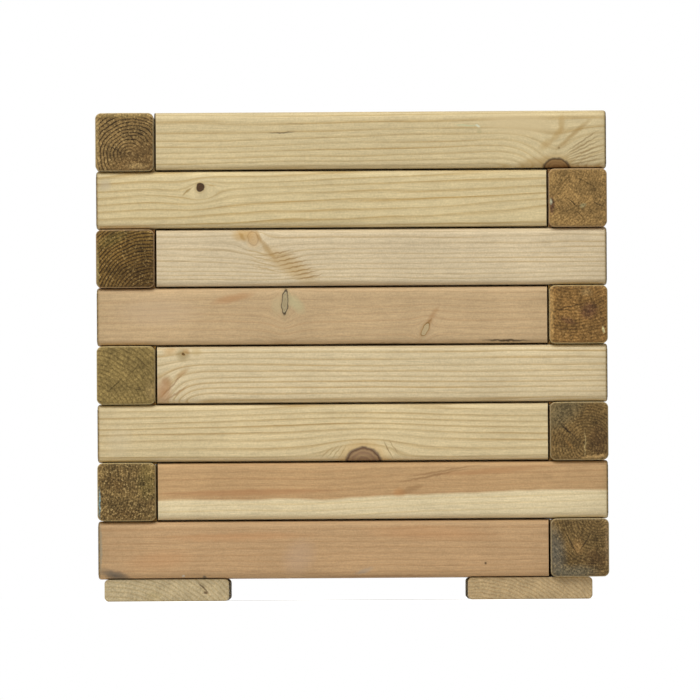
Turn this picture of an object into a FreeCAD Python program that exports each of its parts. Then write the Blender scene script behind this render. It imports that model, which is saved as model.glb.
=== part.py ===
"""Rectangular planter of stacked square battens.

The walls are courses of planed battens laid like a pinwheel: at each corner one batten runs
through and the next one butts against its side, and each course turns the other way round from
the course below. Two screws hold each batten down on the course under it. Two runners under the
long sides lift the walls off the ground, and their inner ledges carry the floor boards.

Millimetres. Seen from the front end, +X is right, +Y is back and +Z is up. The origin is in the
middle of the footprint, at ground level. Courses are counted from the ground.
"""

import FreeCAD, Part
import math
import os
import Sketcher
from FreeCAD import Placement, Rotation, Vector

SIZES = {
    # Battens
    "end_batten_length": 348,
    "side_batten_length": 550,
    "batten_width": 45,
    "batten_height": 45,
    "batten_edge_radius": 4,
    "batten_end_radius": 2,
    "course_count": 8,
    "butt_gap": 1,
    "end_batten_setback": 0.5,
    "side_batten_overhang": 1.5,
    # Runners: the insets are from the planter's outer faces
    "runner_width": 96,
    "runner_thickness": 17,
    "runner_edge_radius": 3,
    "runner_end_setback": 3,
    "left_runner_inset": 5,
    "right_runner_inset": 13,
    # Floor boards: drain_gap is the least gap between boards
    "floor_board_width": 95,
    "floor_board_thickness": 17,
    "floor_board_edge_radius": 3,
    "floor_board_clearance": 2,
    "drain_gap": 4,
    "board_end_radius": 1,
    # Screws through the courses
    "stack_screw_length": 80,
    "stack_screw_shank": 5,
    "stack_screw_head": 10,
    "stack_screw_point": 8,
    "corner_screw_spacing": 15,
    "butt_screw_inset": 25,
    # Screws up through the runners
    "runner_screw_length": 40,
    "runner_screw_shank": 4,
    "runner_screw_head": 8,
    "runner_screw_point": 6,
    "runner_screw_inset": 110,
    "runner_screw_count": 4,
    # Nails down through the floor boards
    "nail_length": 30,
    "nail_shank": 2.6,
    "nail_head": 6,
    "nail_head_thickness": 1.2,
    "nail_point": 4,
    "nail_edge_distance": 20,
    # Seats of the fasteners
    "screw_head_angle": 90,
    "screw_head_sink": 0.5,
    "nail_head_sink": 0.3,
    "fastener_clearance": 0.15,
    "point_clearance": 0.5,
}

# Formulas worked out from the sizes: HALF_WIDTH and HALF_LENGTH reach the walls' outer faces
CORNER = "(Size.batten_width + Size.butt_gap)"
HALF_WIDTH = f"((Size.end_batten_length + {CORNER} + Size.end_batten_setback) / 2)"
HALF_LENGTH = f"((Size.side_batten_length + {CORNER} - Size.side_batten_overhang) / 2)"
INNER_LENGTH = f"(2 * {HALF_LENGTH} - 2 * Size.batten_width)"
SCREW_SEAT = "Size.screw_head_sink * tan(Size.screw_head_angle / 2)"

# The corner where a wall's batten runs through: the signs of its X and Y, and the turn that points
# the batten's own X from that corner along the wall.
THROUGH_CORNERS = {
    "odd": {
        "front": (-1, -1, 0),
        "right": (1, -1, 90),
        "back": (1, 1, 180),
        "left": (-1, 1, 270),
    },
    "even": {
        "front": (1, -1, 180),
        "right": (1, 1, 270),
        "back": (-1, 1, 0),
        "left": (-1, -1, 90),
    },
}
# The sign of a batten's own Y that points into the planter
INWARD = {"odd": 1, "even": -1}

doc = FreeCAD.newDocument("planter")
sheet = doc.addObject("Spreadsheet::Sheet", "Size")
for row, (alias, number) in enumerate(SIZES.items(), start=1):
    sheet.set(f"A{row}", alias)
    sheet.set(f"B{row}", str(number))
    sheet.setAlias(f"B{row}", alias)
doc.recompute()

subparts = {}


def value(formula):
    """The number that a formula gives now."""
    return float(sheet.evalExpression(formula))


def sketch_on(body, name, role, level="0"):
    """A sketch on one of the body's origin planes, lifted by level along the plane's normal."""
    plane = next(feature for feature in body.Origin.OriginFeatures if feature.Role == role)
    sketch = body.newObject("Sketcher::SketchObject", name)
    sketch.AttachmentSupport = (plane, [""])
    sketch.MapMode = "FlatFace"
    sketch.setExpression("AttachmentOffset.Base.z", level)
    return sketch


def pin(sketch, geometry, point, across, up):
    """Ties a point of the sketch to its origin, at the distances that two formulas give."""
    for kind, axis, formula in (("DistanceX", -2, across), ("DistanceY", -1, up)):
        distance = value(formula)
        if distance == 0:
            sketch.addConstraint(Sketcher.Constraint("PointOnObject", geometry, point, axis))
            continue
        ends = (-1, 1, geometry, point) if distance > 0 else (geometry, point, -1, 1)
        tie = sketch.addConstraint(Sketcher.Constraint(kind, *ends, abs(distance)))
        sketch.setExpression(f"Constraints[{tie}]", f"abs({formula})")


def draw_outline(sketch, corners):
    """A closed outline of straight lines through corners, each given by two formulas."""
    points = [Vector(value(across), value(up), 0) for across, up in corners]
    for number, point in enumerate(points):
        sketch.addGeometry(Part.LineSegment(point, points[(number + 1) % len(points)]))
    for number in range(len(points)):
        following = (number + 1) % len(points)
        sketch.addConstraint(Sketcher.Constraint("Coincident", number, 2, following, 1))
    for number, (across, up) in enumerate(corners):
        pin(sketch, number, 1, across, up)


def round_off(body, name, base, elements, radius):
    """A fillet on the named edges or faces of the body's last feature."""
    fillet = body.newObject("PartDesign::Fillet", name)
    fillet.Base = (base, elements)
    fillet.setExpression("Radius", radius)
    doc.recompute()
    return fillet


def timber(label, length, width, height, edge_radius, end_radius, start="0", inward=1, square_butt=False):
    """A planed piece along its own X from start, with rounded long edges and eased ends.

    A square butt leaves the far end as the saw cut it.
    """
    body = doc.addObject("PartDesign::Body", label)
    body.Label = label
    section = sketch_on(body, f"{label}_section", "YZ_Plane", start)
    side = f"{inward} * {width}"
    draw_outline(section, [("0", "0"), (side, "0"), (side, height), ("0", height)])
    pad = body.newObject("PartDesign::Pad", f"{label}_stock")
    pad.Profile = section
    pad.setExpression("Length", length)
    doc.recompute()
    long_edges = [
        f"Edge{number}"
        for number, edge in enumerate(pad.Shape.Edges, start=1)
        if abs(edge.tangentAt(edge.FirstParameter).x) > 0.999
    ]
    rounded = round_off(body, f"{label}_edges", pad, long_edges, edge_radius)
    eased_ends = (-1,) if square_butt else (-1, 1)
    end_faces = [
        f"Face{number}"
        for number, face in enumerate(rounded.Shape.Faces, start=1)
        if any(face.normalAt(0, 0).x * end > 0.999 for end in eased_ends)
    ]
    # An end is eased by less than the long edges, whose rounding it has to run round.
    eased_radius = f"min({end_radius}; 0.9 * {edge_radius})"
    round_off(body, f"{label}_ends", rounded, end_faces, eased_radius)
    subparts[label] = body
    return body


def drill(body, name, level, points, diameter, depth, through=False, upwards=False, seat=None):
    """Holes of one kind at points of the body's own X and Y, down from level or up from it.

    seat is (kind, diameter, size): a Countersink's angle, or a Counterbore's depth.
    """
    marks = sketch_on(body, f"{body.Label}_{name}_marks", "XY_Plane", level)
    for across, along in points:
        centre = Vector(value(across), value(along), 0)
        circle = marks.addGeometry(Part.Circle(centre, Vector(0, 0, 1), value(diameter) / 2))
        pin(marks, circle, 3, across, along)
        tie = marks.addConstraint(Sketcher.Constraint("Diameter", circle, value(diameter)))
        marks.setExpression(f"Constraints[{tie}]", diameter)
    doc.recompute()
    volume_before = body.Shape.Volume
    hole = body.newObject("PartDesign::Hole", f"{body.Label}_{name}")
    hole.Profile = marks
    doc.recompute()
    hole.Reversed = upwards
    hole.DrillPoint = "Flat"
    hole.DepthType = "ThroughAll" if through else "Dimension"
    hole.setExpression("Diameter", diameter)
    hole.setExpression("Depth", depth)
    if seat:
        kind, seat_diameter, seat_size = seat
        hole.HoleCutType = kind
        hole.HoleCutCustomValues = True
        hole.setExpression("HoleCutDiameter", seat_diameter)
        sized = "HoleCutCountersinkAngle" if kind == "Countersink" else "HoleCutDepth"
        hole.setExpression(sized, seat_size)
    doc.recompute()
    least = 0.95 * len(points) * math.pi / 4 * value(diameter) ** 2 * value(depth)
    if volume_before - body.Shape.Volume < least:
        raise RuntimeError(f"{hole.Label} cuts less than its holes should")


def place(piece, x, y, z, turn=0):
    """Puts a piece at three formulas, turned about Z by a number of degrees."""
    piece.Placement = Placement(Vector(), Rotation(Vector(0, 0, 1), turn))
    for axis, formula in (("x", x), ("y", y), ("z", z)):
        piece.setExpression(f"Placement.Base.{axis}", formula)


def turned_piece(label, profile):
    """A piece turned about Z from half its profile, whose corners are given by formulas."""
    body = doc.addObject("PartDesign::Body", label)
    body.Label = label
    sketch = sketch_on(body, f"{label}_profile", "XZ_Plane")
    draw_outline(sketch, profile)
    revolution = body.newObject("PartDesign::Revolution", f"{label}_turned")
    revolution.Profile = sketch
    revolution.ReferenceAxis = (sketch, ["V_Axis"])
    revolution.Angle = 360
    doc.recompute()
    return body


def countersunk_screw(label, length, shank, head, point):
    """A screw that points down from the middle of its head's flat top."""
    cone_height = f"(({head} - {shank}) / 2 / tan(Size.screw_head_angle / 2))"
    return turned_piece(
        label,
        [
            ("0", "0"),
            (f"{head} / 2", "0"),
            (f"{shank} / 2", f"-{cone_height}"),
            (f"{shank} / 2", f"-({length} - {point})"),
            ("0", f"-{length}"),
        ],
    )


def flat_head_nail():
    """A nail that points down from the middle of its head's flat top."""
    return turned_piece(
        "nail",
        [
            ("0", "0"),
            ("Size.nail_head / 2", "0"),
            ("Size.nail_head / 2", "-Size.nail_head_thickness"),
            ("Size.nail_shank / 2", "-Size.nail_head_thickness"),
            ("Size.nail_shank / 2", "-(Size.nail_length - Size.nail_point)"),
            ("0", "-Size.nail_length"),
        ],
    )


def fastener_group(label, fastener, places, upside_down=False):
    """Copies of one fastener at places, each of three formulas, as separate solids of one piece."""
    links = []
    for number, (x, y, z) in enumerate(places, start=1):
        link = doc.addObject("App::Link", f"{label}_{number}")
        link.LinkedObject = fastener
        place(link, x, y, z)
        if upside_down:
            link.Placement.Rotation = Rotation(Vector(1, 0, 0), 180)
        links.append(link)
    group = doc.addObject("Part::Compound", label)
    group.Label = label
    group.Links = links
    subparts[label] = group


def from_corner(corner, along, inward):
    """X and Y of a point, by its distances from a corner: along the wall and square to it."""
    x_sign, y_sign, turn = corner
    from_x, from_y = (along, inward) if turn in (0, 180) else (inward, along)
    return f"{x_sign} * ({HALF_WIDTH} - ({from_x}))", f"{y_sign} * ({HALF_LENGTH} - ({from_y}))"


def turn_of(course):
    """Which way round a course is laid."""
    return "odd" if course % 2 else "even"


def batten_length(wall):
    """The cut length of a wall's battens."""
    return "Size.end_batten_length" if wall in ("front", "back") else "Size.side_batten_length"


def corner_inset(course):
    """How far a course's corner screws are from both outer faces: neighbours miss each other."""
    sign = "-" if course % 2 else "+"
    return f"(Size.batten_width / 2 {sign} Size.corner_screw_spacing / 2)"


def through_end(wall):
    """Distance from the through corner's outer face in to the end of a wall's batten."""
    return "Size.end_batten_setback" if wall in ("front", "back") else "(-Size.side_batten_overhang)"


def butt_screw_along(wall):
    """Distance from the through corner of a wall's batten to the screw near its butt end."""
    return f"({through_end(wall)} + {batten_length(wall)} - Size.butt_screw_inset)"


def course_level(course):
    """Height of a course's underside."""
    return f"(Size.runner_thickness + {course - 1} * Size.batten_height)"


def runner_screw_stations():
    """Distances of the runner screws from the planter's end."""
    count = int(value("Size.runner_screw_count"))
    step = f"(2 * {HALF_LENGTH} - 2 * Size.runner_screw_inset) / (Size.runner_screw_count - 1)"
    return [f"(Size.runner_screw_inset + {number} * {step})" for number in range(count)]


def floor_board_count():
    """As many floor boards as leave at least the drain gap between them and at both ends."""
    pitch = "(Size.floor_board_width + Size.drain_gap)"
    return int(value(f"floor(({INNER_LENGTH} - Size.drain_gap) / {pitch})"))


def floor_board_stations():
    """Distances of the floor boards' front edges from the planter's front, evenly spaced."""
    count = floor_board_count()
    gap = f"(({INNER_LENGTH} - {count} * Size.floor_board_width) / {count + 1})"
    return [
        f"(Size.batten_width + {number + 1} * {gap} + {number} * Size.floor_board_width)"
        for number in range(count)
    ]


def nail_stations():
    """Distances of the nails from the planter's front."""
    offsets = ("Size.nail_edge_distance", "Size.floor_board_width - Size.nail_edge_distance")
    return [f"({station} + {offset})" for station in floor_board_stations() for offset in offsets]


def ledge_middle(inset):
    """Distance from the outer face to the middle of a runner's inner ledge."""
    return f"((Size.batten_width + {inset} + Size.runner_width) / 2)"


RUNNER_INSETS = {"left": "Size.left_runner_inset", "right": "Size.right_runner_inset"}
SCREW_HOLE = "(Size.stack_screw_shank + 2 * Size.fastener_clearance)"
RUNNER_SCREW_HOLE = "(Size.runner_screw_shank + 2 * Size.fastener_clearance)"
NAIL_HOLE = "(Size.nail_shank + 2 * Size.fastener_clearance)"


def countersink(head):
    """The seat of a screw head that is sunk below the surface."""
    return "Countersink", f"({head} + 2 * {SCREW_SEAT})", "Size.screw_head_angle"


def pilot_depth(length, sink, thickness):
    """Depth of the hole for a fastener's point, past the piece that the fastener holds down."""
    return f"({length} + {sink} - {thickness} + Size.point_clearance)"


def make_batten(course, wall):
    """One wall's batten of a course, with the holes for its own screws and for those from above."""
    turn = turn_of(course)
    inward = INWARD[turn]
    middle = f"{inward} * Size.batten_width / 2"
    batten = timber(
        f"course_{course}_{wall}_batten",
        batten_length(wall),
        "Size.batten_width",
        "Size.batten_height",
        "Size.batten_edge_radius",
        "Size.batten_end_radius",
        start=through_end(wall),
        inward=inward,
        square_butt=True,
    )
    if course > 1:
        inset = corner_inset(course)
        drill(
            batten,
            "screw_holes",
            "Size.batten_height",
            [(inset, f"{inward} * {inset}"), (butt_screw_along(wall), middle)],
            SCREW_HOLE,
            "Size.batten_height",
            through=True,
            seat=countersink("Size.stack_screw_head"),
        )
    if course < int(value("Size.course_count")):
        inset = corner_inset(course + 1)
        above = f"({CORNER} + Size.butt_screw_inset)"
        drill(
            batten,
            "pilot_holes",
            "Size.batten_height",
            [(inset, f"{inward} * {inset}"), (above, middle)],
            SCREW_HOLE,
            pilot_depth("Size.stack_screw_length", "Size.screw_head_sink", "Size.batten_height"),
        )
    if course == 1 and wall in RUNNER_INSETS:
        drill(
            batten,
            "runner_pilot_holes",
            "0",
            [(station, middle) for station in runner_screw_stations()],
            RUNNER_SCREW_HOLE,
            pilot_depth("Size.runner_screw_length", "Size.screw_head_sink", "Size.runner_thickness"),
            upwards=True,
        )
    corner = THROUGH_CORNERS[turn][wall]
    place(batten, *from_corner(corner, "0", "0"), course_level(course), turn=corner[2])


def make_runner(side):
    """A board under one long side, countersunk from below and with pilot holes on its ledge."""
    inset = RUNNER_INSETS[side]
    runner = timber(
        f"{side}_runner",
        f"2 * ({HALF_LENGTH} - Size.runner_end_setback)",
        "Size.runner_width",
        "Size.runner_thickness",
        "Size.runner_edge_radius",
        "Size.board_end_radius",
    )
    under_batten = f"(Size.batten_width / 2 - {inset})"
    drill(
        runner,
        "screw_holes",
        "0",
        [(f"({station} - Size.runner_end_setback)", under_batten) for station in runner_screw_stations()],
        RUNNER_SCREW_HOLE,
        "Size.runner_thickness",
        through=True,
        upwards=True,
        seat=countersink("Size.runner_screw_head"),
    )
    on_ledge = f"({ledge_middle(inset)} - {inset})"
    drill(
        runner,
        "nail_pilot_holes",
        "Size.runner_thickness",
        [(f"({station} - Size.runner_end_setback)", on_ledge) for station in nail_stations()],
        NAIL_HOLE,
        pilot_depth("Size.nail_length", "Size.nail_head_sink", "Size.floor_board_thickness"),
    )
    sign = -1 if side == "left" else 1
    x = f"{sign} * ({HALF_WIDTH} - {inset})"
    y = f"{-sign} * ({HALF_LENGTH} - Size.runner_end_setback)"
    place(runner, x, y, "0", turn=270 if side == "left" else 90)


def make_floor_board(number, station):
    """One floor board across the planter, nailed to both ledges."""
    length = f"(2 * ({HALF_WIDTH} - Size.batten_width - Size.floor_board_clearance))"
    board = timber(
        f"floor_board_{number}",
        length,
        "Size.floor_board_width",
        "Size.floor_board_thickness",
        "Size.floor_board_edge_radius",
        "Size.board_end_radius",
    )
    end = "(Size.batten_width + Size.floor_board_clearance)"
    left = f"({ledge_middle(RUNNER_INSETS['left'])} - {end})"
    right = f"({length} - ({ledge_middle(RUNNER_INSETS['right'])} - {end}))"
    near = "Size.nail_edge_distance"
    far = "(Size.floor_board_width - Size.nail_edge_distance)"
    drill(
        board,
        "nail_holes",
        "Size.floor_board_thickness",
        [(along, across) for along in (left, right) for across in (near, far)],
        NAIL_HOLE,
        "Size.floor_board_thickness",
        through=True,
        seat=(
            "Counterbore",
            "(Size.nail_head + 2 * Size.fastener_clearance)",
            "(Size.nail_head_thickness + Size.nail_head_sink)",
        ),
    )
    place(board, f"{end} - {HALF_WIDTH}", f"{station} - {HALF_LENGTH}", "Size.runner_thickness")


def make_course_screws(course, screw):
    """The screws that hold a course down: one at each through corner, one near each butt end."""
    level = f"{course_level(course)} + Size.batten_height - Size.screw_head_sink"
    inset = corner_inset(course)
    places = []
    for wall, corner in THROUGH_CORNERS[turn_of(course)].items():
        places.append((*from_corner(corner, inset, inset), level))
        butt = from_corner(corner, butt_screw_along(wall), "Size.batten_width / 2")
        places.append((*butt, level))
    fastener_group(f"course_{course}_screws", screw, places)


def make_runner_screws(screw):
    """The screws up through both runners into the lowest side battens."""
    x = f"({HALF_WIDTH} - Size.batten_width / 2)"
    places = [
        (f"{sign} * {x}", f"{station} - {HALF_LENGTH}", "Size.screw_head_sink")
        for sign in (-1, 1)
        for station in runner_screw_stations()
    ]
    fastener_group("runner_screws", screw, places, upside_down=True)


def make_floor_nails(nail):
    """The nails that hold both ends of each floor board on the ledges."""
    level = "Size.runner_thickness + Size.floor_board_thickness - Size.nail_head_sink"
    places = []
    for side, sign in (("left", -1), ("right", 1)):
        x = f"{sign} * ({HALF_WIDTH} - {ledge_middle(RUNNER_INSETS[side])})"
        places += [(x, f"{station} - {HALF_LENGTH}", level) for station in nail_stations()]
    fastener_group("floor_nails", nail, places)


courses = range(1, int(value("Size.course_count")) + 1)
for side in RUNNER_INSETS:
    make_runner(side)
for number, station in enumerate(floor_board_stations(), start=1):
    make_floor_board(number, station)
for course in courses:
    for wall in THROUGH_CORNERS[turn_of(course)]:
        make_batten(course, wall)

stack_screw = countersunk_screw(
    "stack_screw",
    "Size.stack_screw_length",
    "Size.stack_screw_shank",
    "Size.stack_screw_head",
    "Size.stack_screw_point",
)
runner_screw = countersunk_screw(
    "runner_screw",
    "Size.runner_screw_length",
    "Size.runner_screw_shank",
    "Size.runner_screw_head",
    "Size.runner_screw_point",
)
for course in courses[1:]:
    make_course_screws(course, stack_screw)
make_runner_screws(runner_screw)
make_floor_nails(flat_head_nail())
doc.recompute()

for item in doc.Objects:
    if {"Invalid", "Error"} & set(item.State):
        raise RuntimeError(f"{item.Label} failed: {item.State}")
for label, piece in subparts.items():
    if piece.Shape.isNull() or not piece.Shape.isValid():
        raise RuntimeError(f"{label} has no valid shape")

os.makedirs("parts", exist_ok=True)
for label, piece in subparts.items():
    piece.Shape.exportStep(f"parts/{label}.step")
print(f"{len(subparts)} sub-parts")
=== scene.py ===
"""Dresses the rectangular planter: planed pine battens, runners, floor boards, screws and nails."""

import math
import random
from typing import NamedTuple

import bmesh
import bpy
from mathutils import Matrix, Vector


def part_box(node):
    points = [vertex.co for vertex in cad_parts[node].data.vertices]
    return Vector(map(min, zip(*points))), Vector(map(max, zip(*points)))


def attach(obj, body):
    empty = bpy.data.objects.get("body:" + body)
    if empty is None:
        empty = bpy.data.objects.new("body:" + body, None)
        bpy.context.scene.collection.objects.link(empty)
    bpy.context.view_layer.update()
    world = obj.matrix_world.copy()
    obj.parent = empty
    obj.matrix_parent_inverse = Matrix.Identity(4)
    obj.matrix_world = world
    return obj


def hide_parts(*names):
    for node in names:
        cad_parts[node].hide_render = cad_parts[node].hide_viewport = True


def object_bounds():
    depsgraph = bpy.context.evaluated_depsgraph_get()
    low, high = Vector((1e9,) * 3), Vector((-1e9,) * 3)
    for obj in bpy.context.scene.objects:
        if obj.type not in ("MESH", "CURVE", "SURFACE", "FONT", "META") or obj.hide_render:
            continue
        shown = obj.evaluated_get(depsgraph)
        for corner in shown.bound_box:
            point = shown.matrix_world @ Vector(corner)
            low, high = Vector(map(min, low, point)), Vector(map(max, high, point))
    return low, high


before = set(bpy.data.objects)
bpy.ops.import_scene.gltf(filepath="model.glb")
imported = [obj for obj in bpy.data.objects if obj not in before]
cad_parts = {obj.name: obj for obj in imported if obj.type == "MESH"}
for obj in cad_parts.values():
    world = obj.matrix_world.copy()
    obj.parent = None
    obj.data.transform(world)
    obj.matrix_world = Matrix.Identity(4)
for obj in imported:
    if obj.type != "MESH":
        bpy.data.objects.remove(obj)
cad_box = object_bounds()

# Sizes in metres, apart from the grain, which is drawn in millimetres
MM = 0.001
ARRIS_RADIUS = 4 * MM
RUNNER_ARRIS_RADIUS = 3 * MM
SAWN_END_RADIUS = 2 * MM
BOARD_END_RADIUS = 1 * MM
ARRIS_WEAR = 0.5 * MM
# Wear comes and goes along an edge in about this length
WEAR_RUN = 30 * MM
STATION_SPACING = 7 * MM
EASE_STEPS = 5
ARRIS_STEPS = 5
FLAT_CUTS = 6
CROWN = 1.2 * MM
SIDE_CROWN = 0.15 * MM
# How far out of square each butt end is sawn, so that it closes inside
BUTT_SKEW = 0.75 * MM
CRISP_ANGLE = math.radians(35)
WELD = 0.01 * MM
CAD_WELD = 0.001 * MM
COURSES = 8
WALLS = ("front", "right", "back", "left")

STACK_SCREW = {"length": 80 * MM, "shank": 3.4 * MM, "thread": 5 * MM, "head": 10 * MM, "sink": 11 * MM}
RUNNER_SCREW = {"length": 40 * MM, "shank": 2.7 * MM, "thread": 4 * MM, "head": 8 * MM, "sink": 9 * MM}
NAIL = {"length": 30 * MM, "shank": 2.6 * MM, "head": 6 * MM, "thick": 1.2 * MM, "sink": 6.3 * MM}
SINK_DEPTH = 3.5 * MM
NAIL_SINK_DEPTH = 1.5 * MM
# Cutters stand this far out of what they cut
CUT_PAST = 1 * MM
# The star drive as shares of the head's radius
DRIVE_INNER = 0.36
DRIVE_OUTER = 0.5
DRIVE_DEPTH = 0.45
# A point is this many shank radii long
POINT_RADII = 3.0
THREAD_SHARE = 0.6
THREAD_PITCH = 2.6 * MM
RING_PITCH = 0.6 * MM
# A nail's girth in its grooves and at the top of its head, as shares
GROOVE_GIRTH = 0.88
NAIL_TOP_GIRTH = 0.9
# Sides of the turned parts and their seats, and steps in one turn of the thread. The thread is coarser
# than a rolled one, for it lies in the wood.
HEAD_SIDES = 32
SHANK_SIDES = 16
BLADE_SIDES = 3
THREAD_STEPS = 12
STAR_POINTS = 6
NAIL_HEAD_SIDES = 24
NAIL_SHANK_SIDES = 12
NAIL_SHANK_RINGS = 48
NAIL_POINT_SIDES = 4


def linear(hex_colour):
    """An sRGB hex colour as the linear red, green, blue and alpha that the shaders take."""
    shares = [int(hex_colour[i : i + 2], 16) / 255 for i in (1, 3, 5)]
    return tuple(s / 12.92 if s <= 0.04045 else ((s + 0.055) / 1.055) ** 2.4 for s in shares) + (1.0,)


def add(tree, kind, inputs=None, stops=(), **settings):
    """Adds one node with its settings and the stops of its ramp, and fills or links its inputs, by name
    or by number. A list links each of its sources to the one input."""
    node = tree.nodes.new(kind)
    for name, setting in settings.items():
        setattr(node, name, setting)
    if stops:
        elements = node.color_ramp.elements
        while len(elements) < len(stops):
            elements.new(1.0)
        for element, (position, colour) in zip(elements, stops):
            element.position = position
            element.color = colour
    for key, sources in (inputs or {}).items():
        named = [socket for socket in node.inputs if socket.enabled and socket.name == key]
        socket = named[0] if named else node.inputs[key]
        for source in sources if isinstance(sources, list) else [sources]:
            if isinstance(source, bpy.types.Node):
                source = next(output for output in source.outputs if output.enabled)
            if isinstance(source, bpy.types.NodeSocket):
                tree.links.new(source, socket)
            else:
                socket.default_value = source
    return node


def empty_material(name):
    """A new material, and its tree without any nodes."""
    material = bpy.data.materials.new(name)
    material.use_nodes = True
    material.node_tree.nodes.clear()
    return material, material.node_tree


# Pine

class Pattern(NamedTuple):
    """A random pattern: what it is measured from, and the size of its lumps there."""

    place: str
    lump: tuple
    detail: float = 2.0
    roughness: float = 0.5


# Lumps are in millimetres along the grain, into the timber and up. Round the pith they are an angle and
# a distance. Fibres and pores are drawn ten times coarser than real, for real ones are finer than the
# picture.
PATTERNS = {
    "streaks": Pattern("pith", (160.0, 2.2, 2.2)),
    "blotches": Pattern("pith", (55.0, 55.0, 55.0)),
    "fibres": Pattern("grain", (14.0, 0.8, 0.8), 3.0, 0.65),
    "grit": Pattern("timber", (1.0, 1.0, 1.0), 1.0, 0.7),
    "ragged": Pattern("timber", (4.0, 4.0, 4.0)),
    "speckle": Pattern("timber", (1.4, 1.4, 1.4), 2.0, 0.7),
    "soak": Pattern("timber", (9.0, 9.0, 9.0), 3.0),
    "rays": Pattern("round pith", (0.03, 12.0, 1.0), 1.0),
    "splits": Pattern("round pith", (0.2, 33.0, 1.0)),
}
# The range that most of a random pattern lies in
USUAL_RANGE = {"From Min": 0.3, "From Max": 0.7}
# How dark and how light each pattern makes the planed faces, the summer lines and the arcs on sawn ends
FACE_SHADES = {
    "fibres": (0.87, 1.12),
    "grit": (0.92, 1.08),
    "blotches": (0.93, 1.06),
    "streaks": (0.95, 1.04),
}
LINE_SHADES = {"streaks": (0.25, 1.15)}
ARC_SHADES = {"streaks": (0.65, 1.1)}

# One year's ring: place in the year, and darkness
YEAR = ((0.0, 0.3), (0.1, 0.0), (0.55, 0.0), (0.84, 0.8), (0.93, 1.0), (1.0, 0.6))
# The Wave texture draws one ring in this length at scale 1
WAVE_TURN = 2 * math.pi / 20
# Rings drift this little along the timber
RING_DRIFT = 0.12
# How far a seed moves the grain along the timber, and the rays round the pith
SEED_RUN_MM = 997.0
SEED_TURN = 50.0
# Heartwood ends in a soft edge, this far out, that wanders by this much
HEART_EDGE_MM = (1.3, 3.7)
HEART_WANDER_MM = 5.0
# The grain parts round an oval this much longer and higher than the knot
PARTED_LENGTH = 2.0
PARTED_HEIGHT = 1.1
# Marks and knots reach through the timber, and their edges are uneven by this much
DEEP = 10_000.0
UNEVEN_MM = 2.4
# A mark's cover at its middle, half way and at its rim
SOFT_EDGE = ((0, 1), (0.5, 0.75), (1, 0))
CHECK_WIDTH = 0.012
PORE_COLOUR = "#bfa56e"
# Pores are where the speckle is in this range
PORE_RANGE = {"From Min": 0.58, "From Max": 0.74}
# How far a face has to turn across the grain to be half soaked, and to be sawn
HALF_SOAKED = {"From Max": 0.5, "To Max": 0.5}
SAWN = {"From Min": 0.4, "From Max": 0.9}
PLANED_ROUGHNESS = {"To Min": 0.58, "To Max": 0.72}
FIBRE_RELIEF = 0.6
RELIEF = {"Strength": 0.25, "Distance": 0.15 * MM}


class Mark(NamedTuple):
    """A stain, streak or crack, or a painted highlight along a lit rim: its middle along and above the
    timber's middle, and half its size.
    """

    along: float
    up: float
    half_length: float
    half_height: float
    tilt: float
    colour: str
    cover: float


class Knot(NamedTuple):
    """A knot, placed as a mark is. Without cover it only parts the grain."""

    along: float
    up: float
    half_length: float
    half_height: float
    tilt: float
    heart: str = "#8f7256"
    wood: str = "#6f503b"
    rim: str = "#4f3626"
    halo: str = "#b98f55"
    cover: float = 0.0


class Dip(NamedTuple):
    """A place that the grain is drawn down to, as at the foot of a branch."""

    along: float
    up: float
    width: float
    height: float
    drop: float


# Looks of knots: heart, wood, rim, halo and cover
BROWN = ("#9d805c", "#876a50", "#5f4534", "#bd9558", 1.0)
TAN = ("#b8955c", "#a9834b", "#8f6a38", "#c2a066", 0.8)
DARK = ("#543e29", "#402d1c", "#302114", "#a98d5c", 1.0)

PLAIN = {
    "early": "#d2be8d",
    "late": "#ae8f58",
    "ring_mm": 4.5,
    "pith_mm": (25.0, 12.0),
    "lean": 0.0,
    "dive": 0.0,
    "waver": 7.0,
    "line": 0.8,
    "heart": None,
    "flat": False,
    "dips": (),
    "knots": (),
    "marks": (),
    "end_early": "#7d683f",
    "end_late": "#352715",
    "end_line": 1.0,
    "rays": 0.12,
    "rough": 0.55,
    "flecks": 0.3,
    "checks": 0.3,
    "end_marks": (),
    "seed": 0.0,
}

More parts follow.
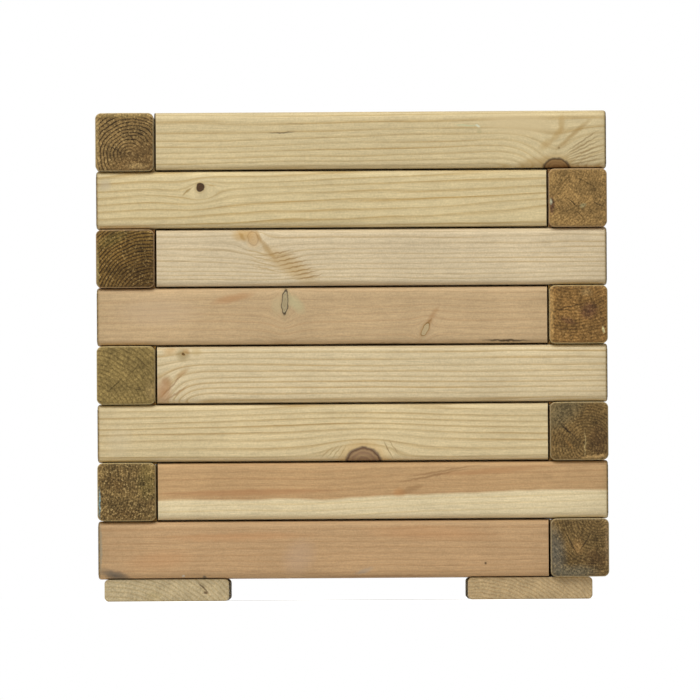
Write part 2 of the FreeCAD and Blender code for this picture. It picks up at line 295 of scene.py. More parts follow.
# Places are in millimetres from the planter's middle and from the batten's middle
FRONT_GRAIN = {
    8: {
        "early": "#c8b68c",
        "late": "#a1834c",
        "ring_mm": 2.7,
        "pith_mm": (18.0, 28.0),
        "waver": 5.0,
        "line": 0.7,
        "lean": 0.5,
        "dips": (Dip(158.0, -24.0, 27.0, 26.0, 20.0),),
        "knots": (Knot(158.4, -22.5, 10.2, 8.0, 0.0, "#8c6c42", "#7d5d39", "#503b25", "#a3834c", 1.0),),
        "marks": (
            Mark(-53.0, 6.6, 13.0, 0.8, 2.0, "#66583f", 0.9),
            Mark(-42.0, 13.5, 10.0, 0.5, 0.0, "#8c7a54", 0.6),
            Mark(130.0, 12.0, 36.0, 11.0, -4.0, "#c6b288", 0.85),
            Mark(90.0, 11.4, 11.0, 1.0, -3.0, "#b9bd95", 0.7),
            Mark(98.0, 11.0, 2.5, 1.0, -15.0, "#cfd3bb", 0.8),
            Mark(99.5, 6.8, 3.0, 2.4, -30.0, "#a3976f", 0.5),
            Mark(162.5, 11.5, 9.5, 3.2, 85.0, "#a98b55", 0.6),
            Mark(158.6, 3.3, 9.5, 3.0, 55.0, "#a98b55", 0.55),
            Mark(150.4, -3.6, 8.0, 3.8, 40.0, "#a98b55", 0.55),
            Mark(171.5, 3.8, 22.0, 2.4, 41.7, "#9b7d48", 0.65),
            Mark(160.5, -6.7, 1.4, 1.4, 0.0, "#7f6a44", 0.8),
            *(
                Mark(178.5 + 0.6 * step, -1.5 - 2.6 * step, 19.0, 0.9, 33.0 - 4.0 * step, "#826a43", 0.7)
                for step in range(7)
            ),
            Mark(140.0, -18.0, 16.0, 5.0, 12.0, "#a5854e", 0.6),
        ),
    },
    7: {
        "early": "#c9b78c",
        "late": "#a5874f",
        "ring_mm": 3.6,
        "pith_mm": (30.0, -44.0),
        "waver": 8.0,
        "lean": 2.4,
        "dips": (Dip(-128.0, 8.0, 22.0, 16.0, 3.5),),
        "knots": (
            Knot(-116.4, 9.7, 3.0, 3.1, 0.0, *DARK),
            Knot(-114.0, 8.5, 5.0, 3.6, 0.0),
        ),
        "marks": (
            Mark(-126.5, 6.6, 6.0, 1.0, 38.0, "#94773f", 0.8),
            Mark(-108.0, 11.5, 5.0, 0.8, -12.0, "#a88a52", 0.7),
            Mark(-190.0, 12.0, 6.0, 6.0, 0.0, "#b3a58a", 0.6),
        ),
    },
    6: {
        "early": "#cbb997",
        "late": "#a58a5c",
        "ring_mm": 2.3,
        "pith_mm": (40.0, 45.0),
        "waver": 5.0,
        "line": 0.65,
        "dips": (Dip(-58.0, -2.0, 16.0, 12.0, 4.0),),
        "knots": (Knot(-76.0, 15.0, 4.2, 5.6, 20.0, "#b8955f", "#aa8148", "#946c36", "#b08848", 0.6),),
        "marks": (
            Mark(-83.9, 17.6, 10.0, 6.0, 0.0, "#b59258", 0.75),
            Mark(-84.5, 16.5, 5.0, 1.8, -60.0, "#a07c43", 0.7),
            Mark(-64.5, 6.2, 14.0, 2.8, -52.0, "#9c7b45", 0.65),
            Mark(-48.0, -6.0, 28.0, 9.0, -33.0, "#b59763", 0.65),
            Mark(-71.5, 16.5, 6.5, 2.0, -62.0, "#98753f", 0.65),
            *(
                Mark(-72.0 + 2.0 * step, 4.0 - 4.2 * step, 14.0, 0.7, -13.0, "#a4864f", 0.6)
                for step in range(4)
            ),
            *(
                Mark(-56.0 + 3.4 * step, 4.0 - 2.7 * step, 13.0, 0.8, 11.0, "#8a6b3c", 0.75)
                for step in range(8)
            ),
        ),
    },
    5: {
        "early": "#bba079",
        "late": "#9e7a52",
        "ring_mm": 2.7,
        "pith_mm": (80.0, 60.0),
        "waver": 5.0,
        "line": 0.35,
        "knots": (
            Knot(-51.7, 10.8, 2.7, 9.5, -3.0, "#a99a78", "#958462", "#352c20", "#9c8a66", 1.0),
            Knot(56.5, -11.0, 2.3, 5.6, -26.0, "#b5a480", "#ab946c", "#80602f", "#a37d50", 0.9),
        ),
        "marks": (
            Mark(119.0, -19.8, 22.0, 1.1, -1.0, "#3a2b1b", 1.0),
            Mark(20.0, -21.5, 40.0, 0.8, 0.0, "#6d5335", 0.6),
            Mark(62.5, 0.0, 10.0, 2.6, 58.0, "#a17a50", 0.55),
            Mark(-44.0, 10.0, 12.0, 6.0, -45.0, "#b2ad84", 0.6),
            Mark(-58.0, 8.0, 5.0, 9.0, 0.0, "#b0a27c", 0.5),
            Mark(58.8, -5.2, 4.5, 0.9, 42.0, "#7d5a35", 0.8),
            Mark(55.0, -17.0, 3.0, 3.0, 0.0, "#b3a17c", 0.7),
            Mark(-92.0, 14.0, 20.0, 4.0, 12.0, "#ad7f53", 0.6),
            Mark(-150.0, 4.0, 40.0, 14.0, 0.0, "#b8a081", 0.5),
        ),
    },
    4: {
        "early": "#cdbb95",
        "late": "#a98b58",
        "ring_mm": 3.1,
        "pith_mm": (40.0, 62.0),
        "waver": 4.0,
        "dips": (Dip(-152.0, -26.0, 20.0, 26.0, 22.0),),
        "knots": (Knot(-130.2, 16.2, 1.2, 1.2, 0.0, "#5d4628", "#6d532f", "#8a7042", "#ab8f5e", 1.0),),
        "marks": (
            Mark(-130.4, 15.8, 7.0, 6.2, 0.0, "#8f7b50", 0.75),
            Mark(-128.0, 18.2, 3.4, 2.6, -20.0, "#a37c48", 0.6),
            Mark(-120.0, 17.8, 5.0, 4.2, 0.0, "#b09868", 0.6),
            Mark(-140.5, 18.5, 7.0, 3.4, 10.0, "#b0884f", 0.55),
            Mark(-131.5, 1.5, 8.0, 2.6, 35.0, "#a9814b", 0.6),
            Mark(-142.8, -4.5, 5.0, 5.0, 0.0, "#976f40", 0.65),
            Mark(-146.0, -13.0, 8.0, 13.0, 0.0, "#a2744c", 0.75),
            Mark(-139.0, -8.0, 16.0, 1.0, 46.0, "#8b653f", 0.7),
            Mark(-136.0, -14.0, 13.0, 0.9, 34.0, "#8f6b43", 0.7),
        ),
    },
    3: {
        "early": "#cdba90",
        "late": "#a28450",
        "ring_mm": 3.0,
        "pith_mm": (40.0, -48.0),
        "waver": 4.0,
        "knots": (Knot(8.2, -22.5, 13.3, 10.8, 0.0, *BROWN),),
        "marks": (
            Mark(27.0, -13.0, 9.0, 0.7, -62.0, "#7d6037", 0.7),
            Mark(31.0, -11.0, 10.0, 0.6, -58.0, "#8f7145", 0.6),
            *(
                Mark(-8.0 - 4.0 * step, -15.0, 8.0, 0.6, 58.0 - 5.0 * step, "#9a7c4a", 0.6)
                for step in range(4)
            ),
            Mark(-180.0, -6.0, 12.0, 16.0, 0.0, "#b9ad92", 0.25),
        ),
    },
    2: {
        "early": "#d5c49d",
        "late": "#bfa46d",
        "ring_mm": 4.2,
        "pith_mm": (40.0, 120.0),
        "waver": 5.0,
        "line": 0.35,
        "lean": 1.2,
        "dips": (Dip(-25.0, 0.0, 45.0, 60.0, 2.2),),
        "heart": {"radius_mm": 138.9, "early": "#b7956a", "late": "#936b46"},
        "marks": (
            Mark(62.0, 11.2, 31.0, 1.2, 11.0, "#7d5c3a", 0.6),
            Mark(70.0, 14.8, 32.0, 1.0, 9.5, "#7d5c3a", 0.55),
            Mark(36.0, -1.6, 6.0, 4.6, 0.0, "#ab7744", 0.55),
            Mark(45.0, 0.8, 11.0, 3.0, 18.0, "#83623e", 0.5),
            Mark(-80.0, -1.0, 80.0, 3.4, 1.0, "#a97a50", 0.6),
            Mark(110.0, 15.0, 50.0, 3.0, 4.0, "#a5764c", 0.5),
        ),
    },
    1: {
        "early": "#b7966e",
        "late": "#9a754e",
        "ring_mm": 2.5,
        "pith_mm": (90.0, 70.0),
        "waver": 4.0,
        "line": 0.45,
        "marks": (
            Mark(102.0, -11.6, 1.2, 1.2, 0.0, "#3d2f20", 1.0),
            Mark(-184.0, -19.0, 15.0, 4.5, -14.0, "#57534b", 0.85),
            Mark(-195.3, 2.0, 1.8, 24.0, 0.0, "#8a8a7a", 0.7),
            Mark(-42.0, -6.0, 14.0, 18.0, -35.0, "#b39c88", 0.3),
            Mark(-131.5, -20.0, 1.6, 1.2, 0.0, "#c4bcab", 0.9),
            Mark(-115.0, -21.0, 2.0, 1.4, 0.0, "#5b5549", 0.9),
            Mark(20.0, -21.0, 60.0, 1.2, 0.0, "#8a6844", 0.6),
            Mark(-90.0, 10.0, 70.0, 4.0, 1.0, "#b88558", 0.4),
            Mark(60.0, 12.0, 60.0, 7.0, -2.0, "#b88558", 0.35),
            Mark(-150.0, -8.0, 30.0, 9.0, 6.0, "#b88558", 0.3),
            Mark(8.0, -17.0, 9.0, 2.4, 20.0, "#9a9082", 0.5),
        ),
    },
}

# Sawn ends in front: the pith and the marks are placed right of the end's middle and above it
END_GRAIN = {
    "course_8_left_batten": {
        "end_early": "#7d643c",
        "end_late": "#23170b",
        "ring_mm": 2.6,
        "pith": (4.0, -10.0),
        "end_line": 1.2,
        "flecks": 0.6,
        "end_marks": (
            Mark(-1.0, -9.0, 15.0, 0.7, -30.0, "#20150a", 0.9),
            Mark(6.0, 2.5, 8.0, 0.6, -52.0, "#20150a", 0.8),
            Mark(11.0, -15.0, 36.0, 17.0, 28.0, "#6c5330", 0.95),
            Mark(9.0, -18.5, 10.0, 3.0, 0.0, "#a98d5c", 0.5),
            # Painted highlights: pale strips along the top and left rims, where light falls on the eased
            # edges
            Mark(0.0, 20.8, 30.0, 2.6, 0.0, "#a08754", 0.8),
            Mark(-21.0, 0.0, 1.8, 30.0, 0.0, "#a08757", 0.7),
        ),
    },
    "course_7_right_batten": {
        "end_early": "#8b6e41",
        "end_late": "#5c4425",
        "ring_mm": 2.0,
        "pith": (-36.0, 30.0),
        "end_line": 0.5,
        "rays": 0.12,
        "flecks": 0.25,
        "checks": 0.0,
        "end_marks": (
            Mark(-5.0, -3.0, 8.0, 0.6, -38.0, "#21160b", 1.0),
            Mark(7.0, 11.5, 9.0, 0.6, -27.0, "#37260f", 0.8),
            Mark(16.0, -5.0, 6.0, 0.6, -27.0, "#21160b", 0.9),
            Mark(2.0, -13.0, 6.0, 0.6, -38.0, "#2c1d0c", 0.8),
            Mark(-11.0, 12.0, 9.0, 0.5, 42.0, "#4a3419", 0.6),
            Mark(-20.0, -6.0, 2.8, 9.0, 0.0, "#4b2f24", 0.9),
            Mark(-21.0, -3.0, 1.6, 3.0, 0.0, "#a3a286", 0.9),
            Mark(4.0, -6.0, 3.5, 2.0, 20.0, "#8c8a66", 0.6),
        ),
    },
    "course_6_left_batten": {
        "end_early": "#6f5529",
        "end_late": "#231609",
        "ring_mm": 2.5,
        "pith": (19.0, -33.0),
        "end_line": 1.4,
        "flecks": 0.5,
        "checks": 0.1,
        "end_marks": (
            Mark(18.0, -28.0, 44.0, 40.0, -30.0, "#3a2711", 0.6),
            Mark(-10.0, 15.0, 16.0, 6.0, 25.0, "#6e6132", 0.4),
            # Painted highlight: a pale strip along the left rim, where light falls on the eased edge
            Mark(-21.5, -8.0, 1.6, 24.0, 0.0, "#8f7f50", 0.8),
        ),
    },
    "course_5_right_batten": {
        "end_early": "#836235",
        "end_late": "#4a311a",
        "ring_mm": 2.4,
        "pith": (-4.0, 60.0),
        "end_line": 0.7,
        "rays": 0.2,
        "flecks": 0.3,
        "checks": 0.2,
        "end_marks": (
            Mark(8.0, 3.0, 9.0, 8.0, 40.0, "#54352a", 0.7),
            Mark(-8.0, -5.0, 9.0, 3.0, -20.0, "#573829", 0.6),
            Mark(6.0, 17.0, 6.0, 4.0, 0.0, "#93784d", 0.7),
            Mark(19.0, -12.0, 1.3, 3.6, 12.0, "#b8ad7d", 1.0),
            Mark(-6.0, 6.0, 14.0, 0.7, 12.0, "#2f1e10", 0.8),
            Mark(-11.0, 3.5, 9.0, 0.6, -4.0, "#35230f", 0.7),
            Mark(-8.0, -11.0, 10.0, 0.6, 2.0, "#3d2818", 0.6),
            # Painted highlight: a pale strip along the left rim, where light falls on the eased edge
            Mark(-20.8, 0.0, 2.4, 26.0, 0.0, "#a5834f", 0.8),
        ),
    },
    "course_4_left_batten": {
        "end_early": "#836f41",
        "end_late": "#4c3b20",
        "ring_mm": 3.4,
        "pith": (-30.0, -34.0),
        "end_line": 0.6,
        "rays": 0.06,
        "rough": 0.42,
        "flecks": 0.2,
        "checks": 0.0,
        "end_marks": (
            Mark(-8.0, -7.0, 10.0, 0.6, 42.0, "#3b2d15", 0.8),
            Mark(5.0, 3.0, 11.0, 0.5, 47.0, "#4a3a1d", 0.7),
            Mark(10.0, -11.0, 12.0, 0.5, -14.0, "#46371b", 0.7),
            Mark(13.0, 10.0, 11.0, 0.6, -42.0, "#46371b", 0.7),
            Mark(-11.0, 6.0, 6.0, 0.5, -50.0, "#4a3a1d", 0.6),
            Mark(19.0, -12.0, 6.0, 8.0, 0.0, "#9c8455", 0.5),
        ),
    },
    "course_3_right_batten": {
        "end_early": "#6f5833",
        "end_late": "#382614",
        "ring_mm": 2.2,
        "pith": (6.0, -12.0),
        "end_line": 0.7,
        "flecks": 0.25,
        "checks": 0.0,
        "end_marks": (
            Mark(-14.0, 15.0, 26.0, 14.0, 35.0, "#655a3f", 0.75),
            Mark(15.0, -8.0, 12.0, 16.0, 0.0, "#4b341e", 0.6),
            Mark(-8.0, 0.0, 16.0, 0.5, -46.0, "#33251a", 0.8),
            Mark(-9.5, 0.5, 8.5, 0.8, -44.0, "#0d0805", 1.0),
            Mark(4.5, -10.0, 0.8, 11.0, 0.0, "#a89262", 0.9),
            Mark(12.0, -20.0, 13.0, 2.0, 6.0, "#ad8d5a", 0.85),
            Mark(-8.0, -10.0, 6.0, 1.6, -50.0, "#96723f", 0.7),
        ),
    },
    "course_2_left_batten": {
        "end_early": "#735d37",
        "end_late": "#372714",
        "ring_mm": 2.0,
        "pith": (-60.0, 12.0),
        "end_line": 0.6,
        "rough": 0.75,
        "flecks": 1.2,
        "checks": 0.0,
        "end_marks": (
            Mark(-8.0, 6.0, 14.0, 7.0, -20.0, "#422f17", 0.7),
            Mark(-2.0, -17.0, 20.0, 6.0, 0.0, "#432f17", 0.6),
            Mark(16.0, 8.0, 9.0, 18.0, 0.0, "#7c6c3a", 0.5),
            # Painted highlight: a pale blue-grey strip on the left rim, where light falls on the eased edge
            Mark(-21.0, -8.0, 1.2, 14.0, 0.0, "#6d8a8c", 0.9),
        ),
    },
    "course_1_right_batten": {
        "end_early": "#6e5834",
        "end_late": "#372716",
        "ring_mm": 2.2,
        "pith": (14.0, 24.0),
        "end_line": 0.7,
        "rays": 0.15,
        "flecks": 0.4,
        "checks": 0.0,
        "end_marks": (
            Mark(-19.0, -4.0, 10.0, 26.0, 8.0, "#5c594e", 0.8),
            Mark(-6.0, -20.0, 24.0, 8.0, 6.0, "#5b5747", 0.8),
            Mark(-1.0, 1.0, 5.0, 8.0, 0.0, "#8b6a3f", 0.6),
            Mark(-7.0, 4.0, 13.0, 0.6, -62.0, "#21170e", 0.9),
            Mark(4.0, 4.0, 12.0, 0.6, 58.0, "#2c2014", 0.8),
            Mark(12.0, -8.0, 12.0, 9.0, 0.0, "#4f3820", 0.6),
            Mark(14.0, -13.0, 11.0, 0.7, -6.0, "#2b1d10", 0.7),
            Mark(14.0, -16.5, 10.0, 0.6, -8.0, "#2b1d10", 0.7),
            # Painted highlight: a pale strip along the right rim, where light falls on the eased edge
            Mark(20.5, 4.0, 1.8, 22.0, 0.0, "#8d7450", 0.7),
        ),
    },
}


def grain_round_knot(tree, place, knot):
    """Bends the grain round a knot as a stream parts round a post."""
    ellipse = add(
        tree,
        "ShaderNodeMapping",
        {
            "Vector": place,
            "Location": (knot.along, 0, knot.up),
            "Rotation": (0, -math.radians(knot.tilt), 0),
            "Scale": (PARTED_LENGTH * knot.half_length, DEEP, PARTED_HEIGHT * knot.half_height),
        },
        vector_type="TEXTURE",
    )
    reach = add(tree, "ShaderNodeVectorMath", {0: ellipse}, operation="LENGTH")
    near = add(tree, "ShaderNodeMath", {0: reach, 1: -2.0}, operation="POWER")
    held = add(tree, "ShaderNodeMath", {0: near, 1: 1.0}, operation="MINIMUM")
    above = add(tree, "ShaderNodeVectorMath", {0: place, 1: (0, 0, knot.up)}, operation="SUBTRACT")
    upward = add(tree, "ShaderNodeVectorMath", {0: above, 1: (0, 0, 1)}, operation="MULTIPLY")
    shift = add(tree, "ShaderNodeVectorMath", {0: upward, "Scale": held}, operation="SCALE")
    return add(tree, "ShaderNodeVectorMath", {0: place, 1: shift}, operation="SUBTRACT")


def grain_dip(tree, place, dip):
    """Draws the grain down towards the foot of a branch, less and less away from it."""
    away = add(
        tree,
        "ShaderNodeMapping",
        {"Vector": place, "Location": (dip.along, 0, dip.up), "Scale": (dip.width, DEEP, dip.height)},
        vector_type="TEXTURE",
    )
    square = add(tree, "ShaderNodeVectorMath", {0: away, 1: away}, operation="DOT_PRODUCT")
    negative = add(tree, "ShaderNodeMath", {0: square, 1: -1.0}, operation="MULTIPLY")
    near = add(tree, "ShaderNodeMath", {0: negative}, operation="EXPONENT")
    drop = add(tree, "ShaderNodeMath", {0: near, 1: dip.drop}, operation="MULTIPLY")
    shift = add(tree, "ShaderNodeCombineXYZ", {"Z": drop})
    return add(tree, "ShaderNodeVectorMath", {0: place, 1: shift}, operation="ADD")


def painted_spot(tree, colour, place, spot, stops, on_end=False):
    """Lays an oval of colour over the wood: stops give its colours and cover from middle to rim."""
    tilt = -math.radians(spot.tilt)
    if on_end:
        oval = ((0, -spot.along, spot.up), (tilt, 0, 0), (DEEP, spot.half_length, spot.half_height))
    else:
        oval = ((spot.along, 0, spot.up), (0, tilt, 0), (spot.half_length, DEEP, spot.half_height))
    ellipse = add(
        tree,
        "ShaderNodeMapping",
        {"Vector": place, "Location": oval[0], "Rotation": oval[1], "Scale": oval[2]},
        vector_type="TEXTURE",
    )
    reach = add(tree, "ShaderNodeVectorMath", {0: ellipse}, operation="LENGTH")
    rim = stops[-1][0]
    share = add(tree, "ShaderNodeMath", {0: reach, 1: rim}, operation="DIVIDE")
    paint = add(
        tree,
        "ShaderNodeValToRGB",
        {"Fac": share},
        [(position / rim, linear(hex_colour)[:3] + (cover,)) for position, hex_colour, cover in stops],
    )
    return add(
        tree,
        "ShaderNodeMix",
        {"Factor": paint.outputs["Alpha"], "A": colour, "B": paint.outputs["Color"]},
        data_type="RGBA",
    )


def mark_stops(mark):
    """A soft-edged mark: its colour, thinner towards the rim."""
    return tuple((reach, mark.colour, share * mark.cover) for reach, share in SOFT_EDGE)


def knot_stops(knot):
    """A knot from its heart through its own rings and bark rim to the stained grain round it."""
    cover = knot.cover
    return (
        (0.0, knot.heart, cover),
        (0.32, knot.wood, cover),
        (0.45, knot.heart, cover),
        (0.66, knot.wood, cover),
        (0.8, knot.heart, cover),
        (0.93, knot.rim, cover),
        (1.03, knot.rim, 0.75 * cover),
        (1.14, knot.halo, 0.45 * cover),
        (1.7, knot.halo, 0.0),
    )


def wood_place(tree, centre, along_y, flat):
    """Millimetres along the grain, into the timber and up, from the timber's middle. Front battens are
    measured from the planter's middle instead, which is where their marks are placed from."""
    middle = Vector(centre) / MM
    origin = (-middle.y, middle.x, -middle.z) if along_y else (0.0, -middle.y, -middle.z)
    place = add(
        tree,
        "ShaderNodeMapping",
        {
            "Vector": add(tree, "ShaderNodeTexCoord").outputs["Object"],
            "Location": origin,
            "Rotation": (0, 0, -math.pi / 2 if along_y else 0.0),
            "Scale": (1 / MM,) * 3,
        },
    )
    if not flat:
        return place
    # The wide face of a board takes the part of a batten's front
    return add(
        tree, "ShaderNodeVectorRotate", {"Vector": place, "Angle": math.pi / 2}, rotation_type="X_AXIS"
    )


def wood_patterns(tree, places):
    """All the random patterns of a timber, by name."""
    made = {}
    for name, pattern in PATTERNS.items():
        shrink = tuple(1 / size for size in pattern.lump)
        scaled = add(
            tree, "ShaderNodeVectorMath", {0: places[pattern.place], 1: shrink}, operation="MULTIPLY"
        )
        made[name] = add(
            tree,
            "ShaderNodeTexNoise",
            {"Vector": scaled, "Scale": 1.0, "Detail": pattern.detail, "Roughness": pattern.roughness},
        )
    return made


def shaded(tree, shade, patterns, shades):
    """A shade, times each pattern stretched from its usual range to its own darkest and lightest."""
    for name, (darkest, lightest) in shades.items():
        stretched = add(
            tree,
            "ShaderNodeMapRange",
            {"Value": patterns[name], **USUAL_RANGE, "To Min": darkest, "To Max": lightest},
        )
        shade = add(tree, "ShaderNodeMath", {0: shade, 1: stretched}, operation="MULTIPLY")
    return shade


def summer_wood(tree, from_pith, grain):
    """How dark the growth rings round the pith are: a slow rise through each year, then a sharp end."""
    drawn_out = add(
        tree, "ShaderNodeVectorMath", {0: from_pith, 1: (RING_DRIFT, 1, 1)}, operation="MULTIPLY"
    )
    rings = add(
        tree,
        "ShaderNodeTexWave",
        {
            "Vector": drawn_out,
            "Scale": WAVE_TURN / grain["ring_mm"],
            "Distortion": grain["waver"],
            "Detail": 3.0,
            "Detail Scale": 0.5,
            "Detail Roughness": 0.45,
        },
        wave_type="RINGS",
        rings_direction="X",
        wave_profile="SAW",
    ).outputs["Fac"]
    return add(
        tree,
        "ShaderNodeValToRGB",
        {"Fac": rings},
        [(position, (shade, shade, shade, 1.0)) for position, shade in YEAR],
    )


def heartwood(tree, colour, drawn, patterns, radius, heart):
    """Lays the darker heartwood over the wood near the pith, with a soft and wandering edge."""
    inner, outer = HEART_EDGE_MM
    edge = add(
        tree,
        "ShaderNodeMath",
        {0: patterns["blotches"], 1: HEART_WANDER_MM, 2: radius},
        operation="MULTIPLY_ADD",
    )
    inside = add(
        tree,
        "ShaderNodeMapRange",
        {"Value": edge, "From Min": heart["radius_mm"] + outer, "From Max": heart["radius_mm"] + inner},
        interpolation_type="SMOOTHSTEP",
    )
    dark = add(
        tree,
        "ShaderNodeMix",
        {"Factor": drawn, "A": linear(heart["early"]), "B": linear(heart["late"])},
        data_type="RGBA",
    )
    return add(tree, "ShaderNodeMix", {"Factor": inside, "A": colour, "B": dark}, data_type="RGBA")


def sawn_end(tree, patterns, uneven, rings, grain):
    """The colour of a sawn end: arcs, rays from the pith, pale pores, soaked blotches and checks."""
    arcs = add(
        tree, "ShaderNodeMath", {0: rings, 1: grain["end_line"]}, operation="MULTIPLY", use_clamp=True
    )
    colour = add(
        tree,
        "ShaderNodeMix",
        {"Factor": arcs, "A": linear(grain["end_early"]), "B": linear(grain["end_late"])},
        data_type="RGBA",
    )
    # Marks on the end; the pale strips along its rims among them are painted highlights
    for mark in grain["end_marks"]:
        colour = painted_spot(tree, colour, uneven, mark, mark_stops(mark), on_end=True)

    # Checks open where the splits cross their middle
    away = add(tree, "ShaderNodeMath", {0: patterns["splits"], 1: 0.5}, operation="SUBTRACT")
    away = add(tree, "ShaderNodeMath", {0: away}, operation="ABSOLUTE")
    checks = add(
        tree, "ShaderNodeMapRange", {"Value": away, "From Max": CHECK_WIDTH, "To Min": 1 - grain["checks"]}
    )
    depths = {"speckle": grain["rough"], "soak": grain["rough"] / 2, "rays": grain["rays"]}
    shades = {name: (1 - depth, 1 + depth) for name, depth in depths.items()}
    shade = shaded(tree, checks, patterns, shades)
    colour = add(tree, "ShaderNodeVectorMath", {0: colour, "Scale": shade}, operation="SCALE")
    pores = add(
        tree,
        "ShaderNodeMapRange",
        {"Value": patterns["speckle"], **PORE_RANGE, "To Max": min(grain["flecks"], 1.0)},
    )
    return add(
        tree, "ShaderNodeMix", {"Factor": pores, "A": colour, "B": linear(PORE_COLOUR)}, data_type="RGBA"
    )


def pine(name, centre, along_y, grain):
    """Planed, pressure-treated pine: pale spring wood with darker summer lines that run straight, part
    round knots and close into arcs on the sawn ends, where the wood drinks more of the treatment and
    turns a dull olive brown with pale pores and drying checks."""
    grain = {**PLAIN, **grain}
    material, tree = empty_material(name)
    place = wood_place(tree, centre, along_y, grain["flat"])
    parted = place
    for dip in grain["dips"]:
        parted = grain_dip(tree, parted, dip)
    for knot in grain["knots"]:
        parted = grain_round_knot(tree, parted, knot)
    from_pith = add(
        tree,
        "ShaderNodeMapping",
        {
            "Vector": parted,
            "Location": (grain["seed"] * SEED_RUN_MM, -grain["pith_mm"][0], -grain["pith_mm"][1]),
            "Rotation": (0, math.radians(grain["lean"]), math.radians(grain["dive"])),
        },
    )
    across = add(tree, "ShaderNodeVectorMath", {0: from_pith, 1: (0, 1, 1)}, operation="MULTIPLY")
    radius = add(tree, "ShaderNodeVectorMath", {0: across}, operation="LENGTH")
    parts = add(tree, "ShaderNodeSeparateXYZ", {0: from_pith}).outputs
    angle = add(tree, "ShaderNodeMath", {0: parts["Z"], 1: parts["Y"]}, operation="ARCTAN2")
    round_pith = add(
        tree, "ShaderNodeCombineXYZ", {"X": angle, "Y": radius, "Z": grain["seed"] * SEED_TURN}
    )
    patterns = wood_patterns(
        tree, {"timber": place, "grain": parted, "pith": from_pith, "round pith": round_pith}
    )

    # Growth rings, drawn as lines along the faces, and the wood between them
    summer = summer_wood(tree, from_pith, grain)
    line = shaded(tree, summer, patterns, LINE_SHADES)
    drawn = add(tree, "ShaderNodeMath", {0: line, 1: grain["line"]}, operation="MULTIPLY", use_clamp=True)
    colour = add(
        tree,
        "ShaderNodeMix",
        {"Factor": drawn, "A": linear(grain["early"]), "B": linear(grain["late"])},
        data_type="RGBA",
    )
    if grain["heart"]:
        colour = heartwood(tree, colour, drawn, patterns, radius, grain["heart"])
    shade = shaded(tree, 1.0, patterns, FACE_SHADES)
    colour = add(tree, "ShaderNodeVectorMath", {0: colour, "Scale": shade}, operation="SCALE")

    # Marks and knots, with uneven edges
    start = add(tree, "ShaderNodeVectorMath", {0: place, 1: (UNEVEN_MM / 2,) * 3}, operation="SUBTRACT")
    uneven = add(
        tree,
        "ShaderNodeVectorMath",
        {0: patterns["ragged"].outputs["Color"], 1: (UNEVEN_MM,) * 3, 2: start},
        operation="MULTIPLY_ADD",
    )
    for mark in grain["marks"]:
        colour = painted_spot(tree, colour, uneven, mark, mark_stops(mark))
    for knot in grain["knots"]:
        if knot.cover:
            colour = painted_spot(tree, colour, uneven, knot, knot_stops(knot))

    # Faces across the grain are sawn ends, and the eased edges round them are half soaked
    end_colour = sawn_end(tree, patterns, uneven, shaded(tree, summer, patterns, ARC_SHADES), grain)
    normal = add(tree, "ShaderNodeNewGeometry").outputs["Normal"]
    axis = (0, 1, 0) if along_y else (1, 0, 0)
    facing = add(tree, "ShaderNodeVectorMath", {0: normal, 1: axis}, operation="DOT_PRODUCT")
    facing = add(tree, "ShaderNodeMath", {0: facing}, operation="ABSOLUTE")
    for turn, other in ((HALF_SOAKED, linear(grain["end_early"])), (SAWN, end_colour)):
        share = add(tree, "ShaderNodeMapRange", {"Value": facing, **turn})
        colour = add(tree, "ShaderNodeMix", {"Factor": share, "A": colour, "B": other}, data_type="RGBA")

    fibres = patterns["fibres"]
    height = add(tree, "ShaderNodeMath", {0: fibres, 1: FIBRE_RELIEF, 2: line}, operation="MULTIPLY_ADD")
    roughness = add(tree, "ShaderNodeMapRange", {"Value": fibres, **USUAL_RANGE, **PLANED_ROUGHNESS})
    surface = add(
        tree,
        "ShaderNodeBsdfPrincipled",
        {
            "Base Color": colour,
            "Roughness": roughness,
            "IOR": 1.45,
            "Specular IOR Level": 0.15,
            "Normal": add(tree, "ShaderNodeBump", {**RELIEF, "Height": height}),
        },
    )
    add(tree, "ShaderNodeOutputMaterial", {"Surface": surface})
    return material


# Zinc

BLOOM = 1.5 * MM
# Zinc's roughness lies this much under and over its usual one
BRIGHTER = 0.1
DULLER = 0.15


def plated_steel(name, shine, dull, roughness):
    """Zinc-coated steel: a soft metallic shine with a cloudy bloom a few millimetres across."""
    material, tree = empty_material(name)
    place = add(tree, "ShaderNodeTexCoord").outputs["Object"]
    bloom = add(tree, "ShaderNodeTexNoise", {"Vector": place, "Scale": 1 / BLOOM, "Detail": 3.0})
    colour = add(
        tree, "ShaderNodeMix", {"Factor": bloom, "A": linear(shine), "B": linear(dull)}, data_type="RGBA"
    )
    worn = add(
        tree,
        "ShaderNodeMapRange",
        {"Value": bloom, "To Min": roughness - BRIGHTER, "To Max": roughness + DULLER},
    )
    surface = add(
        tree, "ShaderNodeBsdfPrincipled", {"Base Color": colour, "Metallic": 1.0, "Roughness": worn}
    )
    add(tree, "ShaderNodeOutputMaterial", {"Surface": surface})
    return material


# Geometry trees

def new_tree(name, inputs):
    """An empty geometry tree with these named inputs and one geometry output."""
    tree = bpy.data.node_groups.new(name, "GeometryNodeTree")
    for socket_name, kind in inputs.items():
        tree.interface.new_socket(socket_name, in_out="INPUT", socket_type="NodeSocket" + kind)
    tree.interface.new_socket("Geometry", in_out="OUTPUT", socket_type="NodeSocketGeometry")
    return tree, add(tree, "NodeGroupInput").outputs


